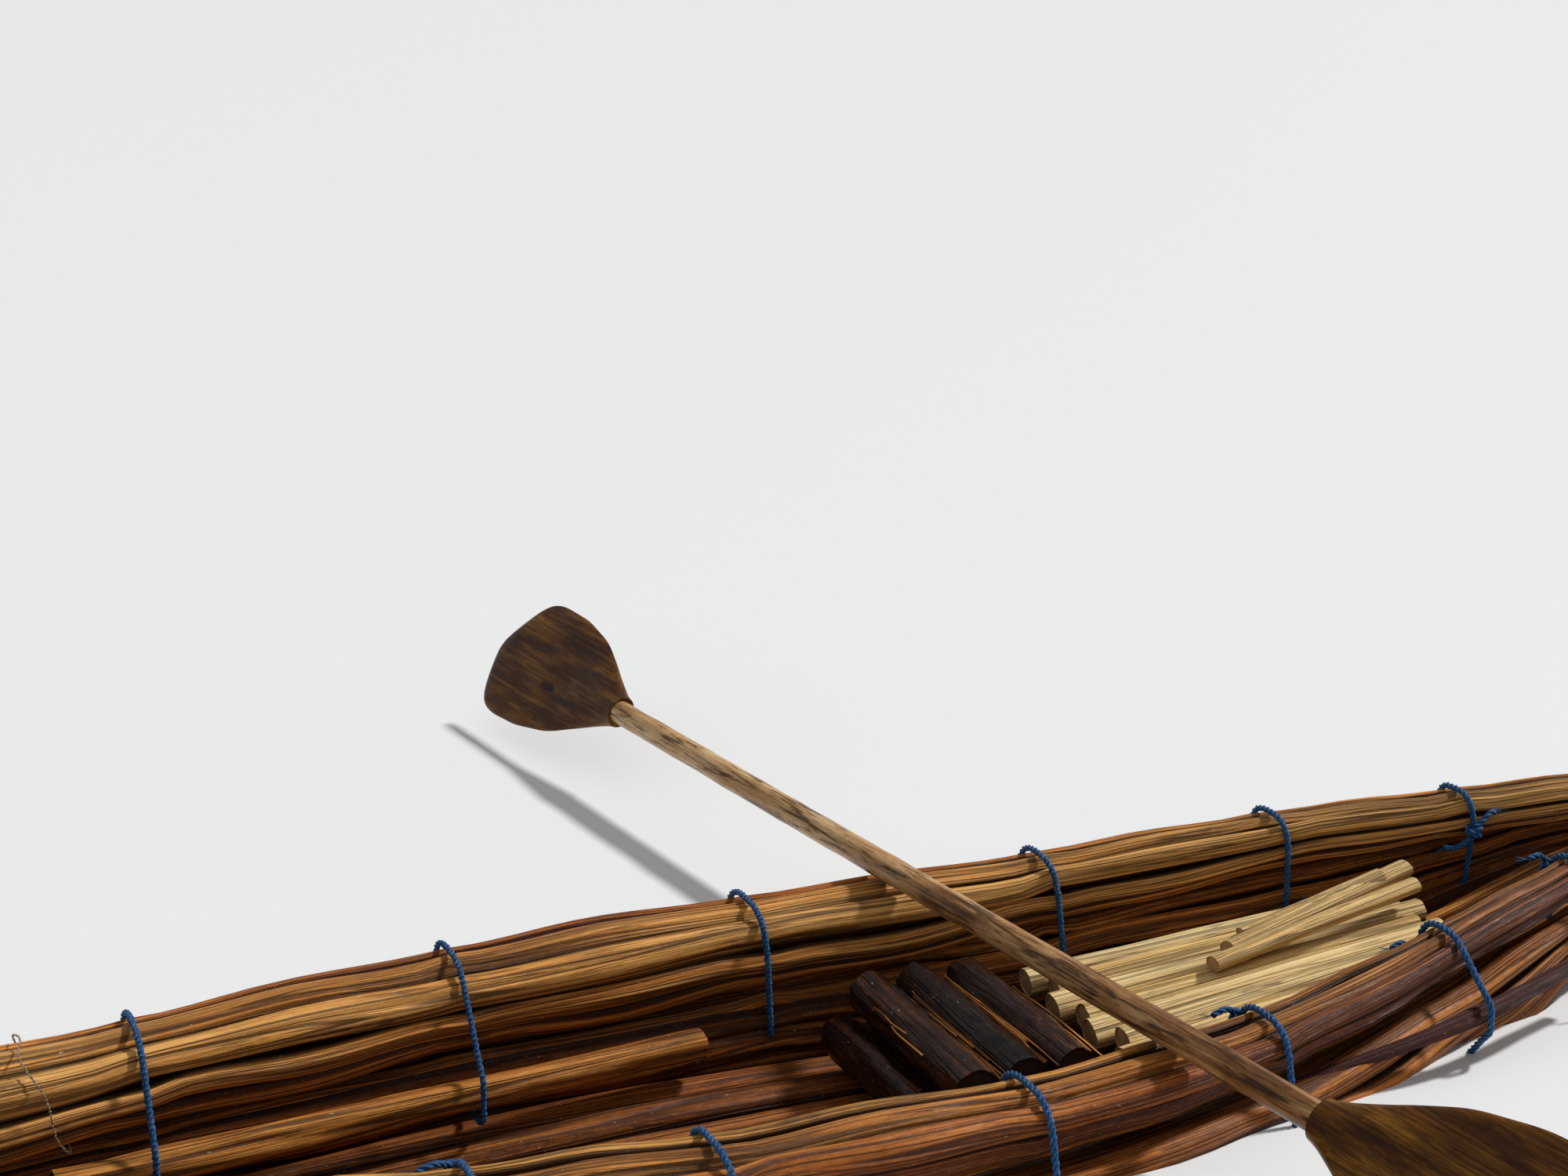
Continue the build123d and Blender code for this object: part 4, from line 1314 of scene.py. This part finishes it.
def make_floor():
    """A plain floor at the waterline, open inside the hull so that the foot well stays clear."""
    aft, fore = HULL_OPENING
    xs = np.linspace(aft, fore, OPENING_STEPS)
    rim = [(x, waterline_reach(x, 1) - OPENING_INSET) for x in xs]
    rim += [(x, OPENING_INSET - waterline_reach(x, -1)) for x in xs[::-1]]
    deselect()
    bpy.ops.mesh.primitive_circle_add(vertices=len(rim), radius=1, location=(0, 0, WATERLINE))
    floor = bpy.context.object
    floor.name = "floor"
    floor.data.vertices.foreach_set("co", [part for x, y in rim for part in (x, y, 0)])
    bpy.ops.object.mode_set(mode="EDIT")
    bpy.ops.mesh.select_all(action="SELECT")
    bpy.ops.mesh.extrude_edges_move()
    bpy.ops.transform.resize(value=FLOOR_GROWTH, center_override=(0, 0, WATERLINE))
    bpy.ops.mesh.select_all(action="SELECT")
    bpy.ops.mesh.normals_make_consistent(inside=False)
    bpy.ops.object.mode_set(mode="OBJECT")
    if floor.data.polygons[0].normal.z < 0:
        floor.data.flip_normals()
    shader = Shader("floor")
    shader.finish(Base_Color=FLOOR_COLOUR, Roughness=FLOOR_ROUGHNESS)
    floor.data.materials.append(shader.material)


# The light on the boat, and the plain backdrop that only the camera sees
SUN_FROM = (-0.66, -0.10, 0.74)
SUN_STRENGTH = 3.0
SUN_WIDTH = math.radians(6)
SKY_COLOUR = (0.94, 0.96, 1.0, 1)
SKY_STRENGTH = 0.38
BACKDROP_COLOUR = (0.80, 0.81, 0.81, 1)


def make_light():
    world = bpy.data.worlds.new("studio")
    bpy.context.scene.world = world
    world.use_nodes = True
    background = world.node_tree.nodes["Background"]
    background.inputs["Color"].default_value = SKY_COLOUR
    background.inputs["Strength"].default_value = SKY_STRENGTH
    backdrop = world.node_tree.nodes.new("ShaderNodeBackground")
    backdrop.inputs["Color"].default_value = BACKDROP_COLOUR
    rays = world.node_tree.nodes.new("ShaderNodeLightPath")
    choice = world.node_tree.nodes.new("ShaderNodeMixShader")
    link = world.node_tree.links.new
    link(rays.outputs["Is Camera Ray"], choice.inputs[0])
    link(background.outputs[0], choice.inputs[1])
    link(backdrop.outputs[0], choice.inputs[2])
    link(choice.outputs[0], world.node_tree.nodes["World Output"].inputs["Surface"])
    sun = bpy.data.lights.new("sun", "SUN")
    sun.energy, sun.angle = SUN_STRENGTH, SUN_WIDTH
    holder = bpy.data.objects.new("sun", sun)
    bpy.context.scene.collection.objects.link(holder)
    holder.rotation_mode = "QUATERNION"
    holder.rotation_quaternion = Vector(SUN_FROM).to_track_quat("Z", "Y")
    bpy.context.scene.view_settings.view_transform = "Standard"


make_camera()
make_floor()
make_light()

stock = {kind: [] for kind in STOCK}
for kind, (count, length, sides, rings, variety, stretch, folds) in STOCK.items():
    for i in range(count):
        stem = straight_stem(f"{kind}_stem_{i}", length, sides, rings, variety + i, stretch, folds)
        stock[kind].append(stem)

# Hull
ties = {side: grip_places(f"{side}_ties") for side in INBOARD}
girth_places = grip_places("raft_girths")
for side, inboard in INBOARD.items():
    table, dryness_and_light = GUNWALES[side], DRYNESS_AND_LIGHT[side]
    bundle(f"{side}_gunwale", stock["long"], table, inboard, ties[side], GUNWALE_CORES, dryness_and_light=dryness_and_light)
for side, inboard in INBOARD.items():
    seam = [(out * -inboard, up, SEAM_STEM_MM) for out, up in SEAM_STEMS]
    bundle(f"{side}_side", stock["plain"], SIDES[side], inboard, ties[side], (SIDE_CORE, *seam))
for side, inboard in INBOARD.items():
    bundle(f"raft_{side}", stock["plain"], RAFT, inboard, girth_places, RAFT_CORES, darker=RAFT_DARKER)
bundle("raft_centre", stock["plain"], CENTRE, INBOARD["port"], girth_places, CENTRE_CORES, darker=RAFT_DARKER)

# Single stems
single_stems("stern_fan", stock["short"], FAN_TONES, (reed, pith), "reed", cuts=FAN_CUTS, grow=FAN_GROW)
single_stems("starboard_inner_reed", stock["short"], INNER_REED_TONES, (reed, wet_pith), "reed")
stalk_axes = single_stems(
    "port_side_stalk", stock["short"], STALK_TONES, (stalk_rind, wet_pith), "wet_reed", sunk=STALK_SUNK,
)
for third in ("port", "middle", "starboard"):
    single_stems(
        f"deck_{third}", stock["split"], DECK_TONES, (cut_reed, pale_pith), "cut_reed", grow=DECK_GROW,
        thickness=DECK_FLATNESS, tilt=DECK_TILT,
    )
single_stems(
    "deck_bearers", stock["log"], BEARER_TONES, (wet_reed, wet_pith), "wet_reed", axis=ACROSS,
    thickness=THICKNESS,
)
for layer in ("lower", "upper"):
    seat_axes = single_stems(
        f"seat_{layer}_logs", stock["log"], SEAT_TONES, (wet_reed, wet_pith), "wet_reed", axis=ACROSS,
        cut_short=LOGS_CUT_SHORT,
    )
seat_strips(seat_axes)
stray_reeds(stock["split"])
discard([stem for kind in stock.values() for stem in kind])

# Ropes
knot = tie_knot()
for side, inboard in INBOARD.items():
    tie_ropes(f"{side}_ties", inboard, KNOTS[side], knot)
for end in ("bow", "stern"):
    binding(f"{end}_binding", knot)
girths("raft_girths", girth_places)
discard([knot])

# Paddle, string and twig
paddle()
starboard_string()
stalk_twig(stalk_axes[0])
